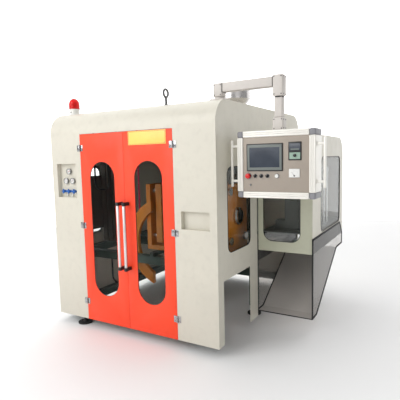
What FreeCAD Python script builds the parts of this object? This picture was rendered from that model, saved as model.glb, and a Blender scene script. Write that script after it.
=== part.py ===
import FreeCAD, Part
import Sketcher
import os
import re

# Blow moulding machine: an enclosed extrusion blow moulder with a side extension, a product
# chute and a control box on a swivel arm.
#
# Every expression uses the cabinet's frame: X runs to the right from the left side of the
# cabinet, Y runs back from its front face, Z is up from the floor, all in millimetres. Each
# finished piece is shifted by origin_x and origin_y, so that the document's origin is the
# middle of the footprint, on the floor.

SIZES = (
    # cabinet
    ("cab_width", 1920), ("cab_depth", 2210), ("cab_height", 2175), ("skirt_gap", 85),
    ("bend", 200), ("skin", 3), ("pane", 5), ("pane_lap", 20), ("fit_gap", 0.3),
    ("bore_gap", 0.05),
    # doors
    ("door_edge", 409), ("door_width", 548), ("door_drop", 223), ("door_gap", 3),
    ("door_depth", 25), ("door_rim", 30), ("port_width", 310), ("port_low", 362),
    ("port_drop", 273), ("hinge_low", 246), ("hinge_mid", 1020), ("hinge_drop", 167),
    ("hinge_tall", 60), ("leaf_wide", 30), ("leaf_thick", 3), ("knuckle_radius", 7),
    ("hinge_pin_radius", 3), ("grip_low", 665), ("grip_high", 1305), ("grip_radius", 13),
    ("grip_reach", 65), ("grip_offset", 36), ("grip_foot_radius", 16), ("label_trim", 133),
    ("label_tall", 122), ("label_drop", 128), ("label_inset", 65), ("label_thick", 1.5),
    # recesses of the front face
    ("dials_side", 70), ("dials_low", 1326), ("dials_wide", 267), ("dials_tall", 339),
    ("dials_deep", 45), ("tray_wall", 2), ("tray_flange", 12), ("dial_radius", 30),
    ("dial_thick", 22), ("dial_pitch", 92), ("dial_row", 165), ("dial_upper", 262),
    ("tap_radius", 15), ("tap_long", 34), ("tap_stem", 5), ("tap_hub", 11), ("tap_row", 60),
    ("tap_pitch", 74), ("tap_wing", 48), ("tap_wing_thick", 8), ("niche_offset", 66),
    ("niche_low", 1087), ("niche_wide", 279), ("niche_tall", 156), ("niche_deep", 45),
    # side windows and the leg cut-out
    ("view_front", 194), ("view_rear", 671), ("view_low", 866), ("view_drop", 564),
    ("view_round", 70), ("leg_front", 101), ("leg_rear", 657), ("leg_top", 645),
    ("flank_rear", 845),
    # extension
    ("ext_front", 860), ("ext_inset", 40), ("ext_wide", 546), ("ext_drop", 285),
    ("ext_low", 766), ("ext_seam", 5), ("ext_view_inset", 62), ("ext_view_trim", 180),
    ("ext_view_low", 868), ("ext_view_drop", 250), ("ext_view_round", 90),
    ("side_view_inset", 305), ("side_view_trim", 159), ("side_view_low", 930),
    ("side_view_drop", 215), ("side_view_round", 70),
    # chute
    ("acrylic", 5), ("chute_top", 915), ("chute_lip", 140), ("chute_trim", 25),
    ("chute_rise", 640), ("chute_run", 1857), ("chute_gap", 5), ("chute_flat", 150),
    ("chute_slant", 130), ("chute_drop", 140), ("slide_sheet", 5),
    # frame
    ("tube", 80), ("post", 50), ("post_gap", 4), ("sill_front", 30), ("base_low", 95),
    ("bed_low", 650), ("bed_front", 290), ("bed_mid", 1060), ("bed_inset", 130),
    ("frame_inset", 5), ("post_drop", 235), ("rail_front", 245), ("rail_mid", 760),
    ("rail_inset", 310), ("foot_radius", 73), ("foot_thick", 14), ("foot_hub", 26),
    ("foot_stem", 11), ("foot_side", 290), ("foot_inner_inset", 280), ("foot_left", 76),
    ("foot_right_inset", 149),
    # clamp
    ("slide_rear", 1680), ("slide_wide", 40), ("slide_tall", 40), ("slide_left", 1000),
    ("slide_right", 1700), ("carriage_front", 420), ("carriage_deep", 460),
    ("carriage_left", 880), ("carriage_right", 1790), ("carriage_thick", 45),
    ("wall_thick", 50), ("wall_rib", 60), ("platen_thick", 70), ("platen_low", 845),
    ("platen_high", 1440), ("platen_trim", 15), ("left_platen_side", 985),
    ("right_platen_side", 1520), ("tie_radius", 25), ("tie_inset", 65), ("tie_nut", 25),
    ("ram_radius", 66), ("rod_radius", 30), ("ram_front", 1650), ("ram_rear", 1850),
    ("ram_flange", 22), ("ram_collar", 9), ("clamp_axis", 1130), ("arm_round", 455),
    ("arm_inner", 365), ("arm_x", 1125), ("arm_z", 850), ("arm_shift", 25),
    ("arm_thick", 40), ("arm_reach", 300),
    # melt side
    ("head_x", 1290), ("head_y", 1180), ("head_radius", 110), ("head_drop", 695),
    ("head_tall", 330), ("nozzle_tall", 70), ("yoke_wide", 300), ("yoke_deep", 180),
    ("barrel_radius", 85), ("barrel_drop", 475), ("barrel_long", 620), ("flange_deep", 30),
    ("screw_radius", 32), ("screw_start", 45), ("gear_deep", 260), ("gear_wide", 300),
    ("gear_tall", 340), ("gear_foot", 40), ("motor_radius", 120), ("motor_tall", 360),
    ("motor_gap", 30), ("coupling", 100), ("hopper_radius", 190), ("hopper_tall", 300),
    ("hopper_neck", 60), ("hopper_wall", 4), ("hopper_y", 1690), ("hopper_lift", 60),
    ("hopper_hole", 70),
    # blow unit and services
    ("blow_x", 1290), ("blow_y", 630), ("blow_drop", 615), ("blow_block", 200),
    ("blow_beam", 120), ("blow_lift", 140), ("gland_radius", 45), ("gland_tall", 90),
    ("gland_drop", 80), ("pin_radius", 16), ("pin_below", 120), ("pin_long", 480),
    ("pin_collar", 38), ("pin_collar_tall", 60), ("pin_collar_drop", 40),
    ("guide_inset", 71), ("guide_y", 1420), ("guide_pitch", 130), ("guide_radius", 11),
    ("guide_foot", 14), ("guide_tall", 620), ("guide_cap", 17), ("guide_cap_tall", 60),
    ("block_inset", 190), ("block_wide", 150), ("block_low", 1080), ("block_tall", 330),
    ("block_deep", 110), ("block_y", 1120), ("step_wide", 100), ("step_tall", 90),
    ("shelf_z", 940), ("shelf_thick", 8), ("shelf_inset", 60), ("shelf_gap", 6),
    # hoses
    ("hose_radius", 9), ("hose_bend", 120), ("hose_loop", 65), ("hose_turn", 40),
    ("hose_pitch", 50), ("hose_level", 1600), ("drip_x", 2320), ("drip_level", 1500),
    ("feed_x", 620), ("feed_level", 860), ("upper_loop_side", 330), ("upper_loop_wide", 190),
    ("upper_loop_low", 1390), ("lower_loop_side", 460), ("lower_loop_wide", 140),
    ("lower_loop_low", 390),
    # ducts behind the left door
    ("duct_x", 90), ("duct_y", 610), ("duct_wide", 60), ("duct_pitch", 75),
    ("duct_low", 760), ("board_front", 330), ("board_low", 915), ("board_high", 1520),
    ("board_thick", 30),
    # roof fittings
    ("lamp_x", 95), ("lamp_y", 252), ("lamp_base_radius", 50), ("lamp_base_tall", 62),
    ("lamp_rim", 8), ("lamp_radius", 57), ("lamp_tall", 58), ("lamp_wall", 3),
    ("eye_x", 1245), ("eye_y", 300), ("eye_ring", 36), ("eye_wire", 10),
    ("eye_stem_tall", 90), ("eye_plate", 90), ("eye_plate_thick", 10),
    # arm and control box
    ("boom_inset", 96), ("boom_y", 270), ("boom_rise", 107), ("boom_tube", 75),
    ("boom_wall", 4), ("boom_block", 84), ("boom_foot", 134), ("boom_foot_thick", 12),
    ("boom_reach", 533), ("elbow_size", 86), ("elbow_drop", 117), ("elbow_cap", 12),
    ("drop_tube", 62), ("drop_tall", 165), ("drop_flange", 8), ("collar_size", 86),
    ("collar_tall", 103), ("pivot_radius", 35), ("pivot_tall", 18), ("spigot_radius", 27),
    ("box_wide", 641), ("box_tall", 535), ("box_front", 150), ("box_deep", 180),
    ("box_bar", 50), ("box_plate", 3), ("plate_back", 12), ("corner_inset", 2),
    ("screen_left", 82), ("screen_wide", 304), ("screen_high", 102), ("screen_tall", 218),
    ("screen_thick", 9), ("ctrl_left", 430), ("ctrl_wide", 102), ("ctrl_high", 97),
    ("ctrl_tall", 141), ("ctrl_thick", 7), ("ctrl_knob_drop", 104), ("ctrl_knob_radius", 12),
    ("ctrl_knob_long", 16), ("meter_left", 435), ("meter_wide", 84), ("meter_high", 303),
    ("meter_tall", 66), ("switch_row", 358), ("bezel_thick", 3), ("stop_left", 95),
    ("stop_radius", 22), ("stop_thick", 20), ("pick_left", 154), ("pick_pitch", 52),
    ("pick_radius", 14), ("pick_thick", 8), ("pick_lever", 7), ("key_left", 337),
    ("key_thick", 6), ("button_stem", 7), ("button_stem_long", 12), ("stop_travel", 6),
    ("start_travel", 4), ("lock_left", 114), ("lock_drop", 72),
    ("lock_radius", 9), ("lock_long", 9), ("grab_inset", 25), ("grab_reach", 50), ("grab_bar", 20),
    ("grab_tall", 384), ("grab_high", 66),
)

# Places that follow from the sizes above.
DERIVED = (
    ("door_top", "=cab_height - door_drop"), ("port_high", "=door_top - port_drop"),
    ("hinge_high", "=door_top - hinge_drop"), ("label_low", "=door_top - label_drop"),
    ("label_side", "=door_edge + door_width + label_inset"),
    ("label_wide", "=door_width - label_trim"),
    ("niche_side", "=door_edge + 2*door_width + niche_offset"),
    ("view_high", "=cab_height - view_drop"), ("ext_rear", "=cab_depth - ext_inset"),
    ("ext_side", "=cab_width + ext_wide"), ("ext_height", "=cab_height - ext_drop"),
    ("ext_view_side", "=cab_width + ext_view_inset"),
    ("ext_view_wide", "=ext_wide - ext_view_trim"),
    ("ext_view_high", "=ext_height - ext_view_drop"),
    ("side_view_front", "=ext_front + side_view_inset"),
    ("side_view_rear", "=ext_rear - side_view_trim"),
    ("side_view_high", "=ext_height - side_view_drop"),
    ("chute_rear", "=ext_rear - chute_trim"), ("bed_rear", "=cab_depth - bed_inset"),
    ("post_top", "=cab_height - post_drop"), ("rail_back", "=cab_depth - rail_inset"),
    ("top_rail", "=cab_height - skin - post"), ("bed_top", "=bed_low + tube"),
    ("foot_inner", "=cab_width - foot_inner_inset"),
    ("foot_right", "=cab_width - foot_right_inset"), ("foot_corner", "=cab_width - foot_left"),
    ("head_low", "=cab_height - head_drop"), ("barrel_z", "=cab_height - barrel_drop"),
    ("barrel_rear", "=head_y + head_radius + barrel_long"),
    ("blow_low", "=cab_height - blow_drop"), ("shelf_top", "=shelf_z + shelf_thick"),
    ("guide_x", "=ext_side - guide_inset"), ("block_side", "=cab_width + block_inset"),
    ("block_top", "=block_low + block_tall"), ("boom_x", "=cab_width - boom_inset"),
    ("boom_z", "=cab_height + boom_rise"), ("drop_x", "=boom_x + boom_reach"),
    ("elbow_low", "=boom_z - elbow_drop"), ("drop_low", "=elbow_low - drop_tall"),
    ("box_top", "=drop_low - collar_tall"),
)

doc = FreeCAD.newDocument("BlowMouldingMachine")
sheet = doc.addObject("Spreadsheet::Sheet", "Sizes")
CELLS = SIZES + DERIVED + (("origin_x", 0), ("origin_y", 0))
for row, (alias, value) in enumerate(CELLS, start=1):
    sheet.set("A%d" % row, alias)
    sheet.setAlias("B%d" % row, alias)
for row, (alias, value) in enumerate(CELLS, start=1):
    sheet.set("B%d" % row, str(value))
doc.recompute()

NAMES = {alias for alias, value in CELLS}
spots = {}
pieces = []


def formula(text):
    """Write an expression in the sheet's own names, such as cab_width - 2*skin."""
    return re.sub(r"[a-z]\w*", lambda word: "Sizes." + word[0] if word[0] in NAMES else word[0],
                  str(text))


def size(alias):
    return float(sheet.get(alias))


def bind(item, **sizes):
    for name, text in sizes.items():
        item.setExpression(name, formula(text))
    return item


def put(item, at):
    """Bind an object's place to expressions and remember them for finish()."""
    spots[item.Name] = at
    for axis, text in zip("xyz", at):
        item.setExpression("Placement.Base." + axis, formula(text))
    return item


TURNS = {
    "Z": FreeCAD.Rotation(),
    "X": FreeCAD.Rotation(FreeCAD.Vector(0, 1, 0), 90),
    "Y": FreeCAD.Rotation(FreeCAD.Vector(1, 0, 0), -90),
}


def block(at, extent):
    item = doc.addObject("Part::Box", "Block")
    bind(item, Length=extent[0], Width=extent[1], Height=extent[2])
    return put(item, at)


def rod(at, radius, length, axis="Z"):
    """A cylinder that starts at a point and runs along an axis."""
    item = doc.addObject("Part::Cylinder", "Rod")
    item.Placement = FreeCAD.Placement(FreeCAD.Vector(), TURNS[axis])
    bind(item, Radius=radius, Height=length)
    return put(item, at)


def taper(at, radius_low, radius_high, length, axis="Z"):
    item = doc.addObject("Part::Cone", "Taper")
    item.Placement = FreeCAD.Placement(FreeCAD.Vector(), TURNS[axis])
    bind(item, Radius1=radius_low, Radius2=radius_high, Height=length)
    return put(item, at)


def ball(at, radius):
    item = doc.addObject("Part::Sphere", "Ball")
    bind(item, Radius=radius)
    return put(item, at)


def ring(at, radius, wire, axis="Z"):
    item = doc.addObject("Part::Torus", "Ring")
    item.Placement = FreeCAD.Placement(FreeCAD.Vector(), TURNS[axis])
    bind(item, Radius1=radius, Radius2=wire)
    return put(item, at)


def fuse(*items):
    item = doc.addObject("Part::MultiFuse", "Joined")
    item.Shapes = list(items)
    return item


def cut(base, *tools):
    item = doc.addObject("Part::Cut", "Cut")
    item.Base = base
    item.Tool = tools[0] if len(tools) == 1 else fuse(*tools)
    return item


def group(*items):
    item = doc.addObject("Part::Compound", "Group")
    item.Links = list(items)
    return item


def finish(label, item):
    """Name a piece, shift it to the document's origin and list it for export."""
    at = spots.get(item.Name, ("0", "0", "0"))
    put(item, ("%s + origin_x" % at[0], "%s + origin_y" % at[1], at[2]))
    item.Label = label
    pieces.append(item)
    return item


# ---------------------------------------------------------------- sketched bodies

def new_body():
    return doc.addObject("PartDesign::Body", "Body")


def origin_plane(body, role):
    return next(feature for feature in body.Origin.OriginFeatures if feature.Role == role)


def pad_outline(body, role, corners, depth, reverse=False):
    """Pad a closed outline whose corners are expression pairs, each held by two constraints."""
    sketch = body.newObject("Sketcher::SketchObject", "Outline")
    sketch.AttachmentSupport = (origin_plane(body, role), [""])
    sketch.MapMode = "FlatFace"
    probe = doc.addObject("App::FeaturePython", "Probe")
    for name in ("u", "v"):
        probe.addProperty("App::PropertyFloat", name)
    points = []
    for u_text, v_text in corners:
        probe.setExpression("u", formula(u_text))
        probe.setExpression("v", formula(v_text))
        doc.recompute([probe])
        points.append(FreeCAD.Vector(probe.u, probe.v, 0))
    doc.removeObject(probe.Name)
    count = len(points)
    for index in range(count):
        sketch.addGeometry(Part.LineSegment(points[index], points[(index + 1) % count]), False)
    for index in range(count):
        sketch.addConstraint(Sketcher.Constraint("Coincident", index, 2, (index + 1) % count, 1))
    for index, (u_text, v_text) in enumerate(corners):
        hold(sketch, "DistanceX", index, u_text, points[index].x, -2)
        hold(sketch, "DistanceY", index, v_text, points[index].y, -1)
    pad = body.newObject("PartDesign::Pad", "Pad")
    pad.Profile = sketch
    bind(pad, Length=depth)
    pad.Reversed = reverse
    doc.recompute()
    return pad


def hold(sketch, kind, index, text, value, axis):
    """Hold the start of a line at a signed distance from the sketch origin, or on its axis."""
    if str(text) == "0":
        sketch.addConstraint(Sketcher.Constraint("PointOnObject", index, 1, axis))
        return
    number = sketch.addConstraint(Sketcher.Constraint(kind, -1, 1, index, 1, value))
    sketch.setExpression("Constraints[%d]" % number, formula(text))


def round_edges(body, radius, wanted):
    """Fillet the edges of a body that a test picks out."""
    doc.recompute()
    shape = body.Tip.Shape
    names = ["Edge%d" % number for number, edge in enumerate(shape.Edges, start=1)
             if wanted(edge)]
    rounding = body.newObject("PartDesign::Fillet", "Rounding")
    rounding.Base = (body.Tip if body.Tip != rounding else rounding.BaseFeature, names)
    bind(rounding, Radius=radius)
    doc.recompute()
    return rounding


def carve(body, at, extent):
    """Take a box out of a body; its place is in the body's own axes."""
    item = body.newObject("PartDesign::SubtractiveBox", "Opening")
    bind(item, Length=extent[0], Width=extent[1], Height=extent[2])
    for axis, text in zip("xyz", at):
        item.setExpression("Placement.Base." + axis, formula(text))
    doc.recompute()
    return item


def along(edge, axis):
    """True for a straight edge that runs along an axis."""
    if len(edge.Vertexes) != 2:
        return False
    span = edge.Vertexes[1].Point - edge.Vertexes[0].Point
    return abs(abs(getattr(span, axis)) - span.Length) < 1e-6 and span.Length > 1e-6


def window_cutter(at, extent, radius, axis):
    """A block with its four edges along an axis rounded, used to cut windows and make panes."""
    body = new_body()
    item = body.newObject("PartDesign::AdditiveBox", "Opening")
    bind(item, Length=extent[0], Width=extent[1], Height=extent[2])
    doc.recompute()
    round_edges(body, radius, lambda edge: along(edge, axis))
    return put(body, at)


# ---------------------------------------------------------------- enclosure

def enclosure_shell():
    """Front, roof and rear folded from one sheet, with its openings."""
    body = new_body()
    tall = "cab_height - skirt_gap"
    outline = (("0", "0"), ("0", tall), ("cab_depth", tall), ("cab_depth", "0"),
               ("cab_depth - skin", "0"), ("cab_depth - skin", tall + " - skin"),
               ("skin", tall + " - skin"), ("skin", "0"))
    pad_outline(body, "YZ_Plane", outline, "cab_width - 2*skin")
    top = size("cab_height") - size("skirt_gap")
    inside = top - size("skin")
    round_edges(body, "bend", lambda edge: along(edge, "x")
                and abs(edge.Vertexes[0].Z - top) < 1e-6)
    round_edges(body, "bend - skin", lambda edge: along(edge, "x")
                and abs(edge.Vertexes[0].Z - inside) < 1e-6
                and not size("bend") < edge.Vertexes[0].Y < size("cab_depth") - size("bend"))
    carve(body, ("door_edge - skin", "-skin", "-1"),
          ("2*door_width", "3*skin", "door_top - skirt_gap + 1"))
    carve(body, ("dials_side - skin", "-skin", "dials_low - skirt_gap"),
          ("dials_wide", "3*skin", "dials_tall"))
    carve(body, ("niche_side - skin", "-skin", "niche_low - skirt_gap"),
          ("niche_wide", "3*skin", "niche_tall"))
    carve(body, ("head_x - hopper_hole - skin", "hopper_y - hopper_hole", tall + " - 2*skin"),
          ("2*hopper_hole", "2*hopper_hole", "3*skin"))
    put(body, ("skin", "0", "skirt_gap"))
    finish("enclosure_shell", body)


def flank(label, x_text):
    """A flat side plate with the shell's rounded top corners and a window."""
    body = new_body()
    tall = "cab_height - skirt_gap"
    pad_outline(body, "YZ_Plane", (("0", "0"), ("0", tall), ("cab_depth", tall),
                                   ("cab_depth", "0")), "skin")
    top = size("cab_height") - size("skirt_gap")
    round_edges(body, "bend", lambda edge: along(edge, "x")
                and abs(edge.Vertexes[0].Z - top) < 1e-6)
    if label == "right_side_panel":
        carve(body, ("-skin", "leg_front", "-1"),
              ("3*skin", "leg_rear - leg_front", "leg_top - skirt_gap + 1"))
        carve(body, ("-skin", "flank_rear", "-1"),
              ("3*skin", "ext_rear - flank_rear - skin", "ext_height - skirt_gap + 1 + fit_gap"))
    put(body, (x_text, "0", "skirt_gap"))
    hole = window_cutter(("%s - skin" % x_text, "view_front", "view_low"),
                         ("3*skin", "view_rear - view_front", "view_high - view_low"),
                         "view_round", "x")
    finish(label, cut(body, hole))


def extension():
    """The box on the right side: folded roof and rear with its side plate, and a front plate."""
    body = new_body()
    deep = "ext_rear - ext_front - skin"
    tall = "ext_height - ext_low"
    outline = (("0", tall), (deep, tall), (deep, "0"), (deep + " - skin", "0"),
               (deep + " - skin", tall + " - skin"), ("0", tall + " - skin"))
    pad_outline(body, "YZ_Plane", outline, "ext_side - cab_width - skin")
    top = size("ext_height") - size("ext_low")
    rear = size("ext_rear") - size("ext_front") - size("skin")
    round_edges(body, "bend", lambda edge: along(edge, "x")
                and abs(edge.Vertexes[0].Z - top) < 1e-6
                and abs(edge.Vertexes[0].Y - rear) < 1e-6)
    round_edges(body, "bend - skin", lambda edge: along(edge, "x")
                and abs(edge.Vertexes[0].Z - top + size("skin")) < 1e-6
                and abs(edge.Vertexes[0].Y - rear + size("skin")) < 1e-6)
    put(body, ("cab_width", "ext_front + skin", "ext_low"))

    plate = block(("cab_width + ext_seam", "ext_front", "ext_low"),
                  ("ext_side - cab_width - ext_seam - skin", "skin", "ext_height - ext_low"))
    hole = window_cutter(("ext_view_side", "ext_front - skin", "ext_view_low"),
                         ("ext_view_wide", "3*skin", "ext_view_high - ext_view_low"),
                         "ext_view_round", "y")
    finish("extension_front_panel", cut(plate, hole))

    side = new_body()
    pad_outline(side, "YZ_Plane", (("0", "0"), ("0", tall), ("ext_rear - ext_front", tall),
                                   ("ext_rear - ext_front", "0")), "skin")
    round_edges(side, "bend", lambda edge: along(edge, "x")
                and abs(edge.Vertexes[0].Z - top) < 1e-6
                and edge.Vertexes[0].Y > size("bend"))
    put(side, ("ext_side - skin", "ext_front", "ext_low"))
    view = window_cutter(("ext_side - 2*skin", "side_view_front", "side_view_low"),
                         ("3*skin", "side_view_rear - side_view_front",
                          "side_view_high - side_view_low"), "side_view_round", "x")
    finish("extension_shell", group(body, cut(side, view)))


def window_panes():
    """The four fixed clear panes, each lapping its window from inside."""
    tall = "view_high - view_low + 2*pane_lap"
    deep = "view_rear - view_front + 2*pane_lap"
    panes = [
        window_cutter((x_text, "view_front - pane_lap", "view_low - pane_lap"),
                      ("pane", deep, tall), "view_round", "x")
        for x_text in ("skin", "cab_width - skin - pane")
    ]
    panes.append(window_cutter(
        ("ext_view_side - pane_lap", "ext_front + skin", "ext_view_low - pane_lap"),
        ("ext_view_wide + 2*pane_lap", "pane", "ext_view_high - ext_view_low + 2*pane_lap"),
        "ext_view_round", "y"))
    panes.append(window_cutter(
        ("ext_side - skin - pane", "side_view_front - pane_lap", "side_view_low - pane_lap"),
        ("pane", "side_view_rear - side_view_front + 2*pane_lap",
         "side_view_high - side_view_low + 2*pane_lap"), "side_view_round", "x"))
    finish("window_panes", group(*panes))


def recess_tray(side, low, wide, tall, deep):
    """An open tray behind a cut-out of the front sheet, with a narrow flange inside it."""
    shell = block((side + " - tray_flange", "skin", low + " - tray_flange"),
                  (wide + " + 2*tray_flange", "tray_wall", tall + " + 2*tray_flange"))
    cup = block((side + " - tray_wall", "skin", low + " - tray_wall"),
                (wide + " + 2*tray_wall", deep, tall + " + 2*tray_wall"))
    hollow = block((side, "0", low), (wide, deep + " + skin - tray_wall", tall))
    return cut(fuse(shell, cup), hollow)


# ---------------------------------------------------------------- doors

def stadium(at, wide, deep, tall):
    """An upright slot with round ends, used for the door windows; it runs along Y."""
    x_text, y_text, z_text = at
    half = "(%s)/2" % wide
    middle = "%s + %s" % (x_text, half)
    return fuse(
        block((x_text, y_text, "%s + %s" % (z_text, half)),
              (wide, deep, "%s - (%s)" % (tall, wide))),
        rod((middle, y_text, "%s + %s" % (z_text, half)), half, deep, "Y"),
        rod((middle, y_text, "%s + %s - %s" % (z_text, tall, half)), half, deep, "Y"))


def door(name, near, centre, hinge_x, sign):
    """One door leaf, its pane, its hinge halves and its handle; sign is +1 for the left door."""
    wide = "door_width - 1.5*door_gap"
    tall = "door_top - skirt_gap - door_gap"
    leaf = block((near, "0", "skirt_gap"), (wide, "door_depth", tall))
    hollow = block((near + " + door_rim", "skin", "skirt_gap + door_rim"),
                   (wide + " - 2*door_rim", "door_depth", tall + " - 2*door_rim"))
    port = stadium((centre + " - port_width/2", "-skin", "port_low"), "port_width",
                   "3*skin", "port_high - port_low")
    leaf = cut(leaf, hollow, port)
    finish(name + "_door_pane", stadium(
        (centre + " - port_width/2 - pane_lap", "skin", "port_low - pane_lap"),
        "port_width + 2*pane_lap", "pane", "port_high - port_low + 2*pane_lap"))
    moving = []
    for level in ("hinge_low", "hinge_mid", "hinge_high"):
        leaf_x = hinge_x + (" + knuckle_radius" if sign > 0 else " - knuckle_radius - leaf_wide")
        reach = hinge_x if sign > 0 else hinge_x + " - knuckle_radius"
        low = level + " + hinge_tall/3 + fit_gap"
        high = "hinge_tall/3 - 2*fit_gap"
        body = fuse(rod((hinge_x, "-knuckle_radius", low), "knuckle_radius", high),
                    block((leaf_x, "-leaf_thick", level),
                          ("leaf_wide", "leaf_thick", "hinge_tall")),
                    block((reach, "-leaf_thick", low), ("knuckle_radius", "leaf_thick", high)))
        moving.append(cut(body, rod((hinge_x, "-knuckle_radius", level),
                                    "hinge_pin_radius + bore_gap", "hinge_tall")))
    finish(name + "_door", group(leaf, *moving))
    bar_x = "door_edge + door_width %s grip_offset" % ("-" if sign > 0 else "+")
    posts = [rod((bar_x, "-grip_reach - grip_foot_radius", level), "grip_foot_radius",
                 "grip_reach + grip_foot_radius", "Y")
             for level in ("grip_low + grip_foot_radius", "grip_high - grip_foot_radius")]
    bar = rod((bar_x, "-grip_reach", "grip_low + 2*grip_foot_radius"), "grip_radius",
              "grip_high - grip_low - 4*grip_foot_radius")
    finish(name + "_door_handle", fuse(bar, *posts))


def doors():
    door("left", "door_edge + door_gap", "door_edge + door_width/2", "door_edge", 1)
    door("right", "door_edge + door_width + door_gap/2", "door_edge + 1.5*door_width",
         "door_edge + 2*door_width", -1)
    fixed = []
    for hinge_x, sign in (("door_edge", 1), ("door_edge + 2*door_width", -1)):
        for level in ("hinge_low", "hinge_mid", "hinge_high"):
            third = "hinge_tall/3"
            leaf_x = hinge_x + (" - knuckle_radius - leaf_wide" if sign > 0
                                else " + knuckle_radius")
            reach = hinge_x + (" - knuckle_radius" if sign > 0 else "")
            parts = [rod((hinge_x, "-knuckle_radius", level), "hinge_pin_radius",
                         "hinge_tall"),
                     block((leaf_x, "-leaf_thick", level),
                           ("leaf_wide", "leaf_thick", "hinge_tall"))]
            for low in (level, level + " + 2*" + third):
                parts.append(rod((hinge_x, "-knuckle_radius", low), "knuckle_radius", third))
                parts.append(block((reach, "-leaf_thick", low),
                                   ("knuckle_radius", "leaf_thick", third)))
            fixed.append(fuse(*parts))
    finish("fixed_hinges", group(*fixed))
    finish("door_plate", block(("label_side", "-label_thick", "label_low"),
                               ("label_wide", "label_thick", "label_tall")))


# ---------------------------------------------------------------- front recesses

def front_recesses():
    back = "skin + dials_deep - tray_wall"
    middle = "dials_side + dials_wide/2"
    spots_of_dials = ((middle + " - dial_pitch/2", "dials_low + dial_row"),
                      (middle + " + dial_pitch/2", "dials_low + dial_row"),
                      (middle, "dials_low + dial_upper"))
    finish("front_trays", group(
        recess_tray("dials_side", "dials_low", "dials_wide", "dials_tall", "dials_deep"),
        recess_tray("niche_side", "niche_low", "niche_wide", "niche_tall", "niche_deep")))
    finish("pressure_dials", group(*[rod((x_text, back + " - dial_thick", z_text),
                                         "dial_radius", "dial_thick", "Y")
                                     for x_text, z_text in spots_of_dials]))
    for number in range(3):
        x_text = "%s + %d*tap_pitch" % (middle, number - 1)
        z_text = "dials_low + tap_row"
        knob = fuse(rod((x_text, back + " - tap_stem - fit_gap - tap_long", z_text),
                        "tap_radius", "tap_long", "Y"),
                    rod((x_text, back + " - tap_stem - fit_gap", z_text), "tap_hub",
                        "tap_stem", "Y"),
                    block((x_text + " - tap_wing_thick/2",
                           back + " - tap_stem - fit_gap - tap_long",
                           z_text + " - tap_wing/2"),
                          ("tap_wing_thick", "tap_long/2", "tap_wing")))
        finish("air_tap_%d" % (number + 1), knob)


# ---------------------------------------------------------------- frame and feet

FEET = (("foot_side", "sill_front + tube/2"), ("foot_inner", "bed_front + tube/2"),
        ("foot_left", "bed_mid + tube/2"), ("foot_right", "bed_mid + tube/2"),
        ("foot_left", "bed_rear + tube/2"), ("foot_corner", "bed_rear + tube/2"))


def beam(x_text, y_text, z_text, long_x="tube", long_y="tube", long_z="tube"):
    return block((x_text, y_text, z_text), (long_x, long_y, long_z))


def main_frame():
    """Square tubes butted together: a low ring, a bed ring, legs, posts and top rails."""
    left = "skin + frame_inset"
    right = "cab_width - skin - frame_inset - tube"
    right_post = "cab_width - skin - frame_inset - post"
    corner = "skin + dials_deep + post_gap"
    wide = "cab_width - 2*skin - 2*frame_inset"
    leg = "bed_low - base_low - tube"
    tubes = [
        beam(left, "sill_front", "base_low", long_x=wide),
        beam(left, "bed_rear", "base_low", long_x=wide),
        beam(left, "sill_front + tube", "base_low", long_y="bed_rear - sill_front - tube"),
        beam("foot_inner - tube/2", "sill_front + tube", "base_low",
             long_y="bed_front - sill_front"),
        beam("foot_right - tube/2", "bed_mid", "base_low", long_z="bed_low - base_low"),
        beam(left, "bed_mid", "base_low + tube", long_z=leg),
        beam(left, "bed_rear", "base_low + tube", long_z=leg),
        beam(right, "bed_rear", "base_low + tube", long_z=leg),
    ]
    for x_text in (left, right):
        tubes.append(beam(x_text, corner, "bed_low", long_y="bed_rear + tube - (%s)" % corner))
    for y_text in ("bed_front", "bed_mid", "bed_rear"):
        tubes.append(beam(left + " + tube", y_text, "bed_low", long_x=wide + " - 2*tube"))
    for x_text in (left, right_post):
        tubes.append(beam(x_text, corner, "base_low + tube", "post", "post", leg))
        tubes.append(beam(x_text, corner, "bed_top", "post", "post", "post_top - bed_top"))
        for y_text in ("rail_mid", "rail_back"):
            tubes.append(beam(x_text, y_text, "bed_top", "post", "post", "top_rail - bed_top"))
        tubes.append(beam(x_text, "rail_front", "top_rail", "post",
                          "rail_back + post - rail_front", "post"))
    for y_text in ("rail_front", "rail_back"):
        tubes.append(beam(left + " + post", y_text, "top_rail", wide + " - 2*post", "post",
                          "post"))
    rails = [block((x_text, "bed_front", "bed_top"),
                   ("slide_wide", "slide_rear - bed_front", "slide_tall"))
             for x_text in ("slide_left", "slide_right")]
    finish("main_frame", group(*tubes, *rails))
    feet = []
    for x_text, y_text in FEET:
        feet.append(fuse(rod((x_text, y_text, "0"), "foot_radius", "foot_thick"),
                         taper((x_text, y_text, "foot_thick"), "foot_hub", "foot_hub/2",
                               "foot_hub"),
                         rod((x_text, y_text, "foot_thick"), "foot_stem",
                             "base_low - foot_thick")))
    finish("levelling_feet", group(*feet))


# ---------------------------------------------------------------- chute

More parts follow.
